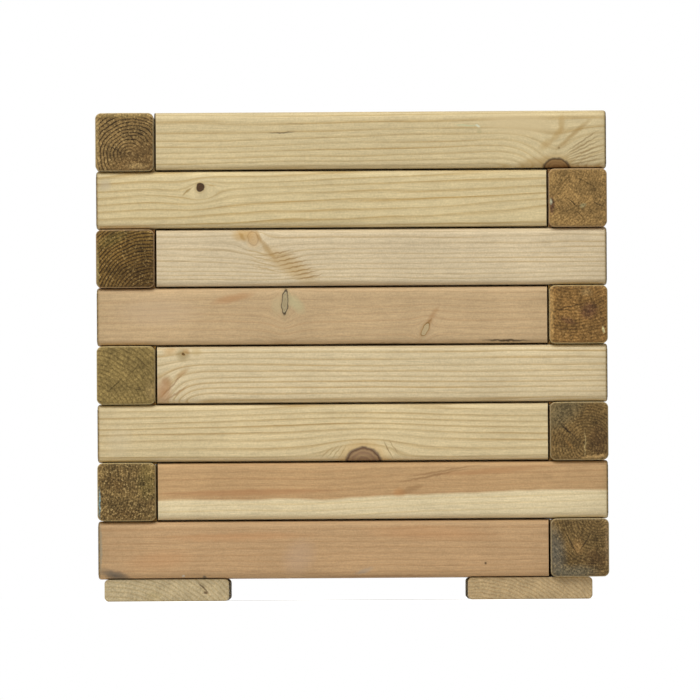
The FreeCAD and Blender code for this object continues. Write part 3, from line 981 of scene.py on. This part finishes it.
def made_by(tree, name, inputs):
    """Runs a tree once with these inputs, and keeps its result as a plain mesh."""
    piece = bpy.data.objects.new(name, bpy.data.meshes.new(name))
    bpy.context.scene.collection.objects.link(piece)
    modifier = piece.modifiers.new(tree.name, "NODES")
    modifier.node_group = tree
    for item in tree.interface.items_tree:
        if item.in_out == "INPUT":
            modifier[item.identifier] = inputs[item.name]
    evaluated = piece.evaluated_get(bpy.context.evaluated_depsgraph_get())
    mesh = bpy.data.meshes.new_from_object(evaluated)
    piece.modifiers.remove(modifier)
    piece.data = mesh
    mesh.name = name
    return piece


def finish_tree(tree, geometry, material):
    """Ends a tree: one mesh, smooth but for its crisp edges, in one material."""
    whole = add(tree, "GeometryNodeRealizeInstances", {"Geometry": geometry})
    smooth = add(tree, "GeometryNodeSetShadeSmooth", {"Geometry": whole}, domain="FACE")
    bend = add(tree, "GeometryNodeInputMeshEdgeAngle").outputs["Unsigned Angle"]
    crisp = add(tree, "ShaderNodeMath", {0: bend, 1: CRISP_ANGLE}, operation="GREATER_THAN")
    smooth = add(
        tree,
        "GeometryNodeSetShadeSmooth",
        {"Geometry": smooth, "Selection": crisp, "Shade Smooth": False},
        domain="EDGE",
    )
    finished = add(tree, "GeometryNodeSetMaterial", {"Geometry": smooth, "Material": material})
    add(tree, "NodeGroupOutput", {"Geometry": finished})


def timber_stations(tree, given):
    """Stations along X, close together round the eased ends. Each keeps its place along the timber and
    how far the section is drawn in there."""
    index = add(tree, "GeometryNodeInputIndex")
    count = add(tree, "ShaderNodeMath", {0: given["Stations"], 1: 2 * EASE_STEPS}, operation="ADD")
    last = add(tree, "ShaderNodeMath", {0: count, 1: 1}, operation="SUBTRACT")
    ease_from = add(tree, "ShaderNodeMath", {0: last, 1: EASE_STEPS}, operation="SUBTRACT")
    share = add(tree, "ShaderNodeMapRange", {"Value": index, "From Min": EASE_STEPS, "From Max": ease_from})
    start_angle = add(
        tree, "ShaderNodeMapRange", {"Value": index, "From Max": EASE_STEPS, "To Max": math.pi / 2}
    )
    finish_angle = add(
        tree,
        "ShaderNodeMapRange",
        {"Value": index, "From Min": ease_from, "From Max": last, "To Min": math.pi / 2, "To Max": 0.0},
    )
    start_cosine = add(tree, "ShaderNodeMath", {0: start_angle}, operation="COSINE")
    start_run = add(tree, "ShaderNodeMath", {0: 1.0, 1: start_cosine}, operation="SUBTRACT")
    finish_run = add(tree, "ShaderNodeMath", {0: finish_angle}, operation="COSINE")
    start = given["Start Radius"]
    finish = given["Finish Radius"]
    both = add(tree, "ShaderNodeMath", {0: start, 1: finish}, operation="ADD")
    straight = add(tree, "ShaderNodeMath", {0: given["Length"], 1: both}, operation="SUBTRACT")
    along = add(tree, "ShaderNodeMath", {0: given["Length"], 1: -0.5}, operation="MULTIPLY")
    for part, size in ((start_run, start), (share, straight), (finish_run, finish)):
        along = add(tree, "ShaderNodeMath", {0: part, 1: size, 2: along}, operation="MULTIPLY_ADD")
    inset = 0.0
    for angle, radius in ((start_angle, start), (finish_angle, finish)):
        sine = add(tree, "ShaderNodeMath", {0: angle}, operation="SINE")
        part = add(tree, "ShaderNodeMath", {0: 1.0, 1: sine}, operation="SUBTRACT")
        inset = add(tree, "ShaderNodeMath", {0: part, 1: radius, 2: inset}, operation="MULTIPLY_ADD")
    stations = add(
        tree,
        "GeometryNodeSetPosition",
        {
            "Geometry": add(tree, "GeometryNodeMeshLine", {"Count": count}),
            "Position": add(tree, "ShaderNodeCombineXYZ", {"X": along}),
        },
    )
    path = add(tree, "GeometryNodeMeshToCurve", {"Mesh": stations})
    kept = add(tree, "GeometryNodeCaptureAttribute")
    kept.capture_items.new("FLOAT", "Along")
    kept.capture_items.new("FLOAT", "Inset")
    for name, source in (("Geometry", path), ("Along", along), ("Inset", inset)):
        tree.links.new(source.outputs[0], kept.inputs[name])
    return kept.outputs


def timber_section(tree, given):
    """The section with eased corners, and points on its flats that keep them flat. Each point keeps its
    place in the section."""
    section = add(
        tree,
        "GeometryNodeCurvePrimitiveQuadrilateral",
        {"Width": given["Depth"], "Height": given["Height"]},
    )
    eased = add(
        tree,
        "GeometryNodeFilletCurve",
        {"Curve": section, "Count": ARRIS_STEPS, "Radius": given["Edge Radius"]},
        mode="POLY",
    )
    index = add(tree, "GeometryNodeInputIndex")
    step = add(tree, "ShaderNodeMath", {0: index, 1: ARRIS_STEPS + 1}, operation="MODULO")
    on_flat = add(tree, "ShaderNodeMath", {0: step, 1: ARRIS_STEPS, 2: 0.5}, operation="COMPARE")
    cuts = add(tree, "ShaderNodeMath", {0: on_flat, 1: FLAT_CUTS}, operation="MULTIPLY")
    divided = add(tree, "GeometryNodeSubdivideCurve", {"Curve": eased, "Cuts": cuts})
    kept = add(tree, "GeometryNodeCaptureAttribute")
    kept.capture_items.new("VECTOR", "Section")
    for name, source in (("Geometry", divided), ("Section", add(tree, "GeometryNodeInputPosition"))):
        tree.links.new(source.outputs[0], kept.inputs[name])
    return kept.outputs


def worn_place(tree, given, section, along, inset):
    """Where each point of a timber goes: in from the section by the end's easing and the corner's wear,
    askew near a butt end, and down towards the sides of a crowned face."""
    half = add(tree, "ShaderNodeCombineXYZ", {"X": given["Depth"], "Y": given["Height"]})
    half = add(tree, "ShaderNodeVectorMath", {0: half, "Scale": 0.5}, operation="SCALE")
    margin = add(tree, "ShaderNodeCombineXYZ", {"X": given["Edge Radius"], "Y": given["Edge Radius"]})
    core_limit = add(tree, "ShaderNodeVectorMath", {0: half, 1: margin}, operation="SUBTRACT")
    low_limit = add(tree, "ShaderNodeVectorMath", {0: core_limit, "Scale": -1.0}, operation="SCALE")
    core = add(tree, "ShaderNodeVectorMath", {0: section, 1: core_limit}, operation="MINIMUM")
    core = add(tree, "ShaderNodeVectorMath", {0: core, 1: low_limit}, operation="MAXIMUM")
    outward = add(tree, "ShaderNodeVectorMath", {0: section, 1: core}, operation="SUBTRACT")
    outward = add(tree, "ShaderNodeVectorMath", {0: outward}, operation="NORMALIZE")
    out = add(tree, "ShaderNodeSeparateXYZ", {0: outward}).outputs
    cornered = add(tree, "ShaderNodeMath", {0: out["X"], 1: out["Y"]}, operation="MULTIPLY")
    cornered = add(tree, "ShaderNodeMath", {0: cornered}, operation="ABSOLUTE")
    drawn = add(tree, "ShaderNodeSeparateXYZ", {0: section}).outputs
    seeded = add(tree, "ShaderNodeMath", {0: drawn["Y"], 1: given["Seed"]}, operation="ADD")
    wear = add(
        tree,
        "ShaderNodeTexNoise",
        {
            "Vector": add(tree, "ShaderNodeCombineXYZ", {"X": along, "Y": drawn["X"], "Z": seeded}),
            "Scale": 1 / WEAR_RUN,
            "Detail": 3.0,
            "Roughness": 0.6,
        },
    )
    wear = add(tree, "ShaderNodeMath", {0: wear, 1: cornered}, operation="MULTIPLY")
    deep = add(tree, "ShaderNodeMath", {0: wear, 1: given["Wear"], 2: inset}, operation="MULTIPLY_ADD")
    back = add(tree, "ShaderNodeVectorMath", {0: outward, "Scale": deep}, operation="SCALE")
    placed = add(tree, "ShaderNodeVectorMath", {0: section, 1: back}, operation="SUBTRACT")
    placed = add(tree, "ShaderNodeSeparateXYZ", {0: placed}).outputs

    across = add(tree, "ShaderNodeMath", {0: placed["X"], 1: given["Depth"]}, operation="DIVIDE")
    across = add(tree, "ShaderNodeMath", {0: across, 1: 2.0}, operation="MULTIPLY")
    length_share = add(tree, "ShaderNodeMath", {0: along, 1: given["Length"]}, operation="DIVIDE")
    skew = add(
        tree,
        "ShaderNodeMapRange",
        {
            "Value": length_share,
            "From Min": -0.5,
            "From Max": 0.5,
            "To Min": given["Start Skew"],
            "To Max": given["Finish Skew"],
        },
    )
    skewed = add(tree, "ShaderNodeMath", {0: across, 1: skew, 2: along}, operation="MULTIPLY_ADD")
    bulge = add(tree, "ShaderNodeMath", {0: across, 1: across}, operation="MULTIPLY")
    fall = add(tree, "ShaderNodeMath", {0: bulge, 1: given["Crown"]}, operation="MULTIPLY")
    level = add(tree, "ShaderNodeMath", {0: placed["Y"], 1: given["Height"]}, operation="DIVIDE")
    fall = add(tree, "ShaderNodeMath", {0: fall, 1: level}, operation="MULTIPLY")
    raised = add(tree, "ShaderNodeMath", {0: fall, 1: -2.0, 2: placed["Y"]}, operation="MULTIPLY_ADD")
    return add(tree, "ShaderNodeCombineXYZ", {"X": skewed, "Y": placed["X"], "Z": raised})


def timber_tree():
    """A planed timber along X: eased long edges, eased or skew ends, a little wear, crowned faces."""
    tree, given = new_tree(
        "planed timber",
        {
            "Length": "Float",
            "Depth": "Float",
            "Height": "Float",
            "Edge Radius": "Float",
            "Start Radius": "Float",
            "Finish Radius": "Float",
            "Start Skew": "Float",
            "Finish Skew": "Float",
            "Crown": "Float",
            "Wear": "Float",
            "Seed": "Float",
            "Stations": "Int",
            "Middle": "Vector",
            "Turn": "Float",
            "Sinks": "Object",
            "Sink Radius": "Float",
            "Sink Point": "Float",
            "Sink Depth": "Float",
            "Sink Turn": "Float",
            "Material": "Material",
        },
    )
    path = timber_stations(tree, given)
    section = timber_section(tree, given)
    swept = add(
        tree,
        "GeometryNodeCurveToMesh",
        {"Curve": path["Geometry"], "Profile Curve": section["Geometry"], "Fill Caps": True},
    )
    place = worn_place(tree, given, section["Section"], path["Along"], path["Inset"])
    shaped = add(tree, "GeometryNodeSetPosition", {"Geometry": swept, "Position": place})
    shaped = add(tree, "GeometryNodeMergeByDistance", {"Geometry": shaped, "Distance": WELD})
    shaped = add(
        tree,
        "GeometryNodeTransform",
        {
            "Geometry": shaped,
            "Translation": given["Middle"],
            "Rotation": add(tree, "ShaderNodeCombineXYZ", {"Z": given["Turn"]}),
        },
    )

    # Countersinks for the screw heads, or recesses for the nail heads
    cutter = add(
        tree,
        "GeometryNodeMeshCone",
        {
            "Vertices": HEAD_SIDES,
            "Radius Top": given["Sink Radius"],
            "Radius Bottom": given["Sink Point"],
            "Depth": given["Sink Depth"],
        },
    )
    cutters = add(
        tree,
        "GeometryNodeInstanceOnPoints",
        {
            "Points": add(tree, "GeometryNodeObjectInfo", {"Object": given["Sinks"]}).outputs["Geometry"],
            "Instance": cutter,
            "Rotation": add(tree, "ShaderNodeCombineXYZ", {"X": given["Sink Turn"]}),
        },
    )
    cutters = add(tree, "GeometryNodeRealizeInstances", {"Geometry": cutters})
    drilled = add(
        tree, "GeometryNodeMeshBoolean", {0: shaped, 1: cutters}, operation="DIFFERENCE", solver="MANIFOLD"
    )
    finish_tree(tree, drilled, given["Material"])
    return tree


def stacked(tree, parts):
    """The parts of a fastener, each moved down from its top to its own height."""
    placed = []
    for part, low in parts:
        height = add(tree, "ShaderNodeCombineXYZ", {"Z": low})
        placed.append(add(tree, "GeometryNodeTransform", {"Geometry": part, "Translation": height}))
    return placed


def screw_tree():
    """Countersunk screws with a star recess and a thread, their heads at a mesh's points."""
    tree, given = new_tree(
        "countersunk screws",
        {
            "Places": "Object",
            "Turn": "Float",
            "Length": "Float",
            "Head Radius": "Float",
            "Shank Radius": "Float",
            "Thread Radius": "Float",
            "Thread Length": "Float",
            "Thread Turns": "Float",
            "Material": "Material",
        },
    )
    head = given["Head Radius"]
    shank = given["Shank Radius"]
    sink = add(tree, "ShaderNodeMath", {0: head, 1: shank}, operation="SUBTRACT")
    under_head = add(tree, "ShaderNodeMath", {0: sink, 1: -1.0}, operation="MULTIPLY")
    point = add(tree, "ShaderNodeMath", {0: shank, 1: POINT_RADII}, operation="MULTIPLY")
    foot = add(tree, "ShaderNodeMath", {0: given["Length"], 1: -1.0}, operation="MULTIPLY")
    shank_low = add(tree, "ShaderNodeMath", {0: foot, 1: point}, operation="ADD")
    shank_run = add(tree, "ShaderNodeMath", {0: under_head, 1: shank_low}, operation="SUBTRACT")

    ridge = add(tree, "ShaderNodeMath", {0: given["Thread Radius"], 1: shank}, operation="SUBTRACT")
    helix = add(
        tree,
        "GeometryNodeCurveSpiral",
        {
            "Resolution": THREAD_STEPS,
            "Rotations": given["Thread Turns"],
            "Start Radius": shank,
            "End Radius": shank,
            "Height": given["Thread Length"],
        },
    )
    blade = add(tree, "GeometryNodeCurvePrimitiveCircle", {"Resolution": BLADE_SIDES, "Radius": ridge})
    thread = add(
        tree, "GeometryNodeCurveToMesh", {"Curve": helix, "Profile Curve": blade, "Fill Caps": True}
    )
    parts = [(thread, shank_low)]
    for sides, top, bottom, depth, low in (
        (SHANK_SIDES, shank, shank, shank_run, shank_low),
        (SHANK_SIDES, shank, 0.0, point, foot),
        (HEAD_SIDES, head, shank, sink, under_head),
    ):
        turned = {"Vertices": sides, "Radius Top": top, "Radius Bottom": bottom, "Depth": depth}
        parts.append((add(tree, "GeometryNodeMeshCone", turned), low))
    *body, solid_head = stacked(tree, parts)

    drive = {}
    for name, share in (("inner", DRIVE_INNER), ("outer", DRIVE_OUTER), ("floor", -DRIVE_DEPTH)):
        drive[name] = add(tree, "ShaderNodeMath", {0: head, 1: share}, operation="MULTIPLY")
    star = add(
        tree,
        "GeometryNodeCurveStar",
        {"Points": STAR_POINTS, "Inner Radius": drive["inner"], "Outer Radius": drive["outer"]},
    )
    bit_path = add(
        tree,
        "GeometryNodeCurvePrimitiveLine",
        {"Start": add(tree, "ShaderNodeCombineXYZ", {"Z": drive["floor"]}), "End": (0, 0, CUT_PAST)},
    )
    bit = add(
        tree, "GeometryNodeCurveToMesh", {"Curve": bit_path, "Profile Curve": star, "Fill Caps": True}
    )
    recessed_head = add(
        tree, "GeometryNodeMeshBoolean", {0: solid_head, 1: bit}, operation="DIFFERENCE", solver="MANIFOLD"
    )
    spin = add(tree, "FunctionNodeRandomValue", {"Max": 2 * math.pi, "Seed": 3}, data_type="FLOAT")
    screws = add(
        tree,
        "GeometryNodeInstanceOnPoints",
        {
            "Points": add(tree, "GeometryNodeObjectInfo", {"Object": given["Places"]}).outputs["Geometry"],
            "Instance": add(tree, "GeometryNodeJoinGeometry", {0: [*body, recessed_head]}),
            "Rotation": add(tree, "ShaderNodeCombineXYZ", {"X": given["Turn"], "Z": spin}),
        },
    )
    finish_tree(tree, screws, given["Material"])
    return tree


def nail_tree():
    """Round-headed nails with ringed shanks, their heads at a mesh's points."""
    tree, given = new_tree(
        "ring nails",
        {
            "Places": "Object",
            "Length": "Float",
            "Head Radius": "Float",
            "Head Thickness": "Float",
            "Shank Radius": "Float",
            "Ring Pitch": "Float",
            "Material": "Material",
        },
    )
    head = given["Head Radius"]
    shank = given["Shank Radius"]
    under_head = add(tree, "ShaderNodeMath", {0: given["Head Thickness"], 1: -1.0}, operation="MULTIPLY")
    half_head = add(tree, "ShaderNodeMath", {0: under_head, 1: 0.5}, operation="MULTIPLY")
    half_thick = add(tree, "ShaderNodeMath", {0: given["Head Thickness"], 1: 0.5}, operation="MULTIPLY")
    rounded = add(tree, "ShaderNodeMath", {0: head, 1: NAIL_TOP_GIRTH}, operation="MULTIPLY")
    point = add(tree, "ShaderNodeMath", {0: shank, 1: POINT_RADII}, operation="MULTIPLY")
    foot = add(tree, "ShaderNodeMath", {0: given["Length"], 1: -1.0}, operation="MULTIPLY")
    shank_low = add(tree, "ShaderNodeMath", {0: foot, 1: point}, operation="ADD")
    shank_run = add(tree, "ShaderNodeMath", {0: under_head, 1: shank_low}, operation="SUBTRACT")
    parts = []
    for sides, rings, top, bottom, depth, low in (
        (NAIL_SHANK_SIDES, NAIL_SHANK_RINGS, shank, shank, shank_run, shank_low),
        (NAIL_POINT_SIDES, 1, shank, 0.0, point, foot),
        (NAIL_HEAD_SIDES, 1, head, head, half_thick, under_head),
        (NAIL_HEAD_SIDES, 1, rounded, head, half_thick, half_head),
    ):
        turned = {"Vertices": sides, "Side Segments": rings, "Radius Top": top, "Radius Bottom": bottom}
        parts.append((add(tree, "GeometryNodeMeshCone", {**turned, "Depth": depth}), low))

    # Grooves round the shank
    here = add(tree, "GeometryNodeInputPosition")
    height = add(tree, "ShaderNodeSeparateXYZ", {0: here}).outputs["Z"]
    ringed = add(tree, "ShaderNodeMath", {0: height, 1: given["Ring Pitch"]}, operation="PINGPONG")
    ringed = add(tree, "ShaderNodeMath", {0: ringed, 1: given["Ring Pitch"]}, operation="DIVIDE")
    girth = add(tree, "ShaderNodeMapRange", {"Value": ringed, "To Min": 1.0, "To Max": GROOVE_GIRTH})
    girths = add(tree, "ShaderNodeCombineXYZ", {"X": girth, "Y": girth, "Z": 1.0})
    grooved = add(tree, "ShaderNodeVectorMath", {0: here, 1: girths}, operation="MULTIPLY")
    plain_shank, low = parts[0]
    parts[0] = (add(tree, "GeometryNodeSetPosition", {"Geometry": plain_shank, "Position": grooved}), low)
    nails = add(
        tree,
        "GeometryNodeInstanceOnPoints",
        {
            "Points": add(tree, "GeometryNodeObjectInfo", {"Object": given["Places"]}).outputs["Geometry"],
            "Instance": add(tree, "GeometryNodeJoinGeometry", {0: stacked(tree, parts)}),
        },
    )
    finish_tree(tree, nails, given["Material"])
    return tree


# Places of the fasteners

def solid_tops(node, top):
    """The axis of each solid in a node, at the height of its top or its underside."""
    shape = bmesh.new()
    shape.from_mesh(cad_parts[node].data)
    bmesh.ops.remove_doubles(shape, verts=shape.verts, dist=CAD_WELD)
    unseen = set(shape.verts)
    places = []
    while unseen:
        island = [unseen.pop()]
        for vert in island:
            for edge in vert.link_edges:
                other = edge.other_vert(vert)
                if other in unseen:
                    unseen.remove(other)
                    island.append(other)
        low = [min(vert.co[i] for vert in island) for i in range(3)]
        high = [max(vert.co[i] for vert in island) for i in range(3)]
        places.append(Vector(((low[0] + high[0]) / 2, (low[1] + high[1]) / 2, high[2] if top else low[2])))
    shape.free()
    return sorted(places, key=tuple)


point_helpers = []


def place_points(name, places):
    """A mesh of bare points that a tree reads its places from, until all the pieces are made."""
    mesh = bpy.data.meshes.new(name)
    mesh.from_pydata([tuple(place) for place in places], [], [])
    points = bpy.data.objects.new(name, mesh)
    bpy.context.scene.collection.objects.link(points)
    point_helpers.append(points)
    return points


def sinks_for(name, places, surface, size, depth, cone, turn):
    """What the timber tree needs to cut the seats of a group of fasteners."""
    side = -1.0 if turn else 1.0
    starts = [Vector((place.x, place.y, surface - side * depth)) for place in places]
    return {
        "points": place_points(name, starts),
        "radius": size / 2 + (CUT_PAST if cone else 0.0),
        "point": size / 2 - (depth if cone else 0.0),
        "depth": depth + CUT_PAST,
        "turn": turn,
    }


def stand_for(piece, node):
    """Puts a finished piece in the place of its CAD node."""
    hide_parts(node)
    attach(piece, "root")


# Timber

TIMBER = timber_tree()
NO_SINKS = sinks_for("no_sinks", [], 0.0, CUT_PAST, CUT_PAST, False, 0.0)
# Early and late wood of the timbers that the front doesn't show
OTHER_COLOURS = (
    ("#d4c194", "#b39559"),
    ("#d8c69c", "#ba9e6b"),
    ("#c9ab83", "#b58c62"),
    ("#d6c390", "#b5975a"),
)


def dress_timber(node, along_y, arris, ends, grain, sinks, crown=0.0, skew=(0.0, 0.0)):
    """Makes the timber that stands for a CAD node, in its own piece of wood."""
    low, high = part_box(node)
    middle = (low + high) / 2
    size = high - low
    length = size.y if along_y else size.x
    inputs = {
        "Length": length,
        "Depth": size.x if along_y else size.y,
        "Height": size.z,
        "Edge Radius": arris,
        "Start Radius": ends[0],
        "Finish Radius": ends[1],
        "Start Skew": skew[0],
        "Finish Skew": skew[1],
        "Crown": crown,
        "Wear": ARRIS_WEAR,
        "Seed": random.Random(node).random(),
        "Stations": round(length / STATION_SPACING),
        "Middle": tuple(middle),
        "Turn": math.pi / 2 if along_y else 0.0,
        "Sinks": sinks["points"],
        "Sink Radius": sinks["radius"],
        "Sink Point": sinks["point"],
        "Sink Depth": sinks["depth"],
        "Sink Turn": sinks["turn"],
        "Material": pine(node + "_pine", middle, along_y, grain),
    }
    stand_for(made_by(TIMBER, "timber_" + node, inputs), node)


def any_grain(node, flat=False):
    """A piece of wood for a face that isn't seen in front: colour, rings and knots of its own."""
    chance = random.Random("grain " + node)
    early, late = chance.choice(OTHER_COLOURS)
    low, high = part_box(node)
    spans = sorted((high - low) / MM)
    knots = []
    for _ in range(chance.choice((0, 0, 1, 1, 2))):
        half = chance.uniform(2.0, 7.0)
        along = chance.uniform(-0.4, 0.4) * spans[2]
        up = chance.uniform(-0.35, 0.35) * spans[1]
        look = chance.choice((TAN, TAN, BROWN, DARK))
        knots.append(Knot(along, up, 1.3 * half, half, chance.uniform(-20, 20), *look))
    angle = chance.uniform(0, 2 * math.pi)
    distance = chance.uniform(15.0, 70.0)
    return {
        "early": early,
        "late": late,
        "ring_mm": chance.uniform(2.6, 4.6),
        "pith_mm": (distance * math.cos(angle), distance * math.sin(angle)),
        "lean": chance.uniform(-2.0, 2.0),
        "dive": chance.uniform(-2.0, 2.0),
        "waver": chance.uniform(4.0, 8.0),
        "flat": flat,
        "knots": tuple(knots),
        "seed": chance.random(),
    }


for course in range(1, COURSES + 1):
    sinks = NO_SINKS
    if course > 1:
        group = f"course_{course}_screws"
        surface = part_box(f"course_{course}_front_batten")[1].z
        sinks = sinks_for(
            group + "_sinks", solid_tops(group, True), surface, STACK_SCREW["sink"], SINK_DEPTH, True, 0.0
        )
    even = course % 2 == 0
    for wall in WALLS:
        node = f"course_{course}_{wall}_batten"
        along_y = wall in ("right", "left")
        through_at_start = {"front": not even, "right": not even, "back": even, "left": even}[wall]
        ends = (SAWN_END_RADIUS, 0.0) if through_at_start else (0.0, SAWN_END_RADIUS)
        grain = FRONT_GRAIN[course] if wall == "front" else any_grain(node)
        if node in END_GRAIN:
            right, up = END_GRAIN[node]["pith"]
            grain = {**grain, **END_GRAIN[node], "pith_mm": (-right, up), "lean": 0.0, "dive": 0.0}
        outside = -1.0 if wall in ("front", "right") else 1.0
        skew = (0.0, -outside * BUTT_SKEW) if through_at_start else (outside * BUTT_SKEW, 0.0)
        crown = SIDE_CROWN if along_y else CROWN
        dress_timber(node, along_y, ARRIS_RADIUS, ends, grain, sinks, crown, skew)

board_ends = (BOARD_END_RADIUS, BOARD_END_RADIUS)
runner_sinks = sinks_for(
    "runner_sinks", solid_tops("runner_screws", False), 0.0, RUNNER_SCREW["sink"], SINK_DEPTH, True, math.pi
)
# Sawn across a dry board, a runner's ends are paler than the battens'
runner_ends = {
    "pith_mm": (85.0, 45.0),
    "lean": 0.0,
    "dive": 0.0,
    "rays": 0.05,
    "rough": 0.22,
    "flecks": 0.1,
    "checks": 0.0,
}
# On a flat board a mark on the end is placed above its middle and left of it
left_cracks = (
    Mark(2.0, -28.0, 7.0, 0.8, 45.0, "#5a4428", 0.9),
    Mark(-2.0, -30.0, 1.6, 2.2, 0.0, "#4f3822", 0.9),
    Mark(-4.0, 10.0, 4.0, 8.0, 0.0, "#a08f63", 0.5),
)
for runner, end_early, end_late, cracks in (
    ("left_runner", "#b6a581", "#a6926b", left_cracks),
    ("right_runner", "#b39c75", "#a2875e", ()),
):
    end_look = {"end_early": end_early, "end_late": end_late, "end_marks": cracks}
    grain = {**any_grain(runner, True), **runner_ends, **end_look}
    dress_timber(runner, True, RUNNER_ARRIS_RADIUS, board_ends, grain, runner_sinks)

floor_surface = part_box("floor_board_1")[1].z
nail_sinks = sinks_for(
    "nail_sinks", solid_tops("floor_nails", True), floor_surface, NAIL["sink"], NAIL_SINK_DEPTH, False, 0.0
)
for board in sorted(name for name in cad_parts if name.startswith("floor_board_")):
    grain = any_grain(board, True)
    dress_timber(board, False, RUNNER_ARRIS_RADIUS, board_ends, grain, nail_sinks)

# Screws and nails

SCREWS = screw_tree()
screw_zinc = plated_steel("yellow_zinc_plated_steel", "#c9b377", "#a08a58", 0.38)
nail_zinc = plated_steel("galvanised_steel", "#b9bcbd", "#8c9092", 0.5)


def dress_screws(node, size, top):
    """Screws for a CAD node, heads up or heads down."""
    threaded = size["length"] * THREAD_SHARE
    inputs = {
        "Places": place_points(node + "_places", solid_tops(node, top)),
        "Turn": 0.0 if top else math.pi,
        "Length": size["length"],
        "Head Radius": size["head"] / 2,
        "Shank Radius": size["shank"] / 2,
        "Thread Radius": size["thread"] / 2,
        "Thread Length": threaded,
        "Thread Turns": threaded / THREAD_PITCH,
        "Material": screw_zinc,
    }
    stand_for(made_by(SCREWS, "turned_" + node, inputs), node)


for course in range(2, COURSES + 1):
    dress_screws(f"course_{course}_screws", STACK_SCREW, True)
dress_screws("runner_screws", RUNNER_SCREW, False)

nails = made_by(
    nail_tree(),
    "turned_floor_nails",
    {
        "Places": place_points("floor_nails_places", solid_tops("floor_nails", True)),
        "Length": NAIL["length"],
        "Head Radius": NAIL["head"] / 2,
        "Head Thickness": NAIL["thick"],
        "Shank Radius": NAIL["shank"] / 2,
        "Ring Pitch": RING_PITCH,
        "Material": nail_zinc,
    },
)
stand_for(nails, "floor_nails")

# Studio: a pale floor, one soft lamp and even light from all round

WHITE = linear("#ffffff")
FRAME_WIDTH = 0.54
CAMERA_DISTANCE = 25.0
CAMERA_HEIGHT = 0.03
AIM = Vector((-0.0017, cad_box[0].y, 0.1930))
SENSOR_MM = 36.0
CAMERA_REACH = 60.0
ROLL = math.radians(0.36)
AMBIENT = 0.38
LAMP_WATTS = 67.0
LAMP_SIZE = 1.8
LAMP_PLACE = Vector((-0.5, -1.6, 2.4))
LAMP_AIM = Vector((0, 0, 0.2))
FLOOR_RADIUS = 1.6
# The floor lies just under the runners, and glows more towards its rim
FLOOR_DROP = 0.2 * MM
FLOOR_GLOW = {"From Min": 0.4, "From Max": 1.5, "To Min": 0.7, "To Max": 0.9}

camera_data = bpy.data.cameras.new("camera")
camera_data.sensor_width = SENSOR_MM
camera_data.lens = SENSOR_MM * CAMERA_DISTANCE / FRAME_WIDTH
camera_data.clip_end = CAMERA_REACH
camera = bpy.data.objects.new("camera", camera_data)
bpy.context.scene.collection.objects.link(camera)
camera.location = (AIM.x, AIM.y - CAMERA_DISTANCE, CAMERA_HEIGHT)
look = (AIM - camera.location).to_track_quat("-Z", "Y").to_euler()
look.rotate_axis("Z", -ROLL)
camera.rotation_euler = look
bpy.context.scene.camera = camera

lamp_data = bpy.data.lights.new("soft_lamp", "AREA")
lamp_data.shape = "DISK"
lamp_data.size = LAMP_SIZE
lamp_data.energy = LAMP_WATTS
lamp = bpy.data.objects.new("soft_lamp", lamp_data)
bpy.context.scene.collection.objects.link(lamp)
lamp.location = LAMP_PLACE
lamp.rotation_euler = (LAMP_AIM - LAMP_PLACE).to_track_quat("-Z", "Y").to_euler()
lamp.visible_camera = False


def seen_as_white(tree):
    """1 for rays that should see plain white: from the camera, or by way of a mirror or glass."""
    path = add(tree, "ShaderNodeLightPath").outputs
    seen = path["Is Camera Ray"]
    for ray in ("Is Glossy Ray", "Is Transmission Ray"):
        seen = add(tree, "ShaderNodeMath", {0: seen, 1: path[ray]}, operation="MAXIMUM")
    return seen


world = bpy.data.worlds.new("studio")
bpy.context.scene.world = world
world.use_nodes = True
sky_tree = world.node_tree
sky_tree.nodes.clear()
strength = add(
    sky_tree, "ShaderNodeMapRange", {"Value": seen_as_white(sky_tree), "To Min": AMBIENT, "To Max": 1.0}
)
sky = add(sky_tree, "ShaderNodeBackground", {"Color": WHITE, "Strength": strength})
add(sky_tree, "ShaderNodeOutputWorld", {"Surface": sky})

bpy.ops.mesh.primitive_circle_add(
    vertices=96, radius=FLOOR_RADIUS, fill_type="NGON", location=(0, 0, -FLOOR_DROP)
)
floor = bpy.context.object
floor.name = "studio_floor"
floor_material, floor_tree = empty_material("pale_floor")
floor_place = add(floor_tree, "ShaderNodeTexCoord").outputs["Object"]
out = add(floor_tree, "ShaderNodeVectorMath", {0: floor_place}, operation="LENGTH")
fade = add(
    floor_tree, "ShaderNodeMapRange", {"Value": out, **FLOOR_GLOW}, interpolation_type="SMOOTHSTEP"
)
glow_share = add(
    floor_tree, "ShaderNodeMath", {0: seen_as_white(floor_tree), 1: fade}, operation="MULTIPLY"
)
matt_floor = add(floor_tree, "ShaderNodeBsdfDiffuse", {"Color": linear("#e7e7e7")})
glow = add(floor_tree, "ShaderNodeEmission", {"Color": WHITE, "Strength": glow_share})
pale = add(floor_tree, "ShaderNodeAddShader", {0: matt_floor, 1: glow})
add(floor_tree, "ShaderNodeOutputMaterial", {"Surface": pale})
floor.data.materials.append(floor_material)

for points in point_helpers:
    bpy.data.objects.remove(points)

bpy.context.scene.view_settings.view_transform = "Standard"
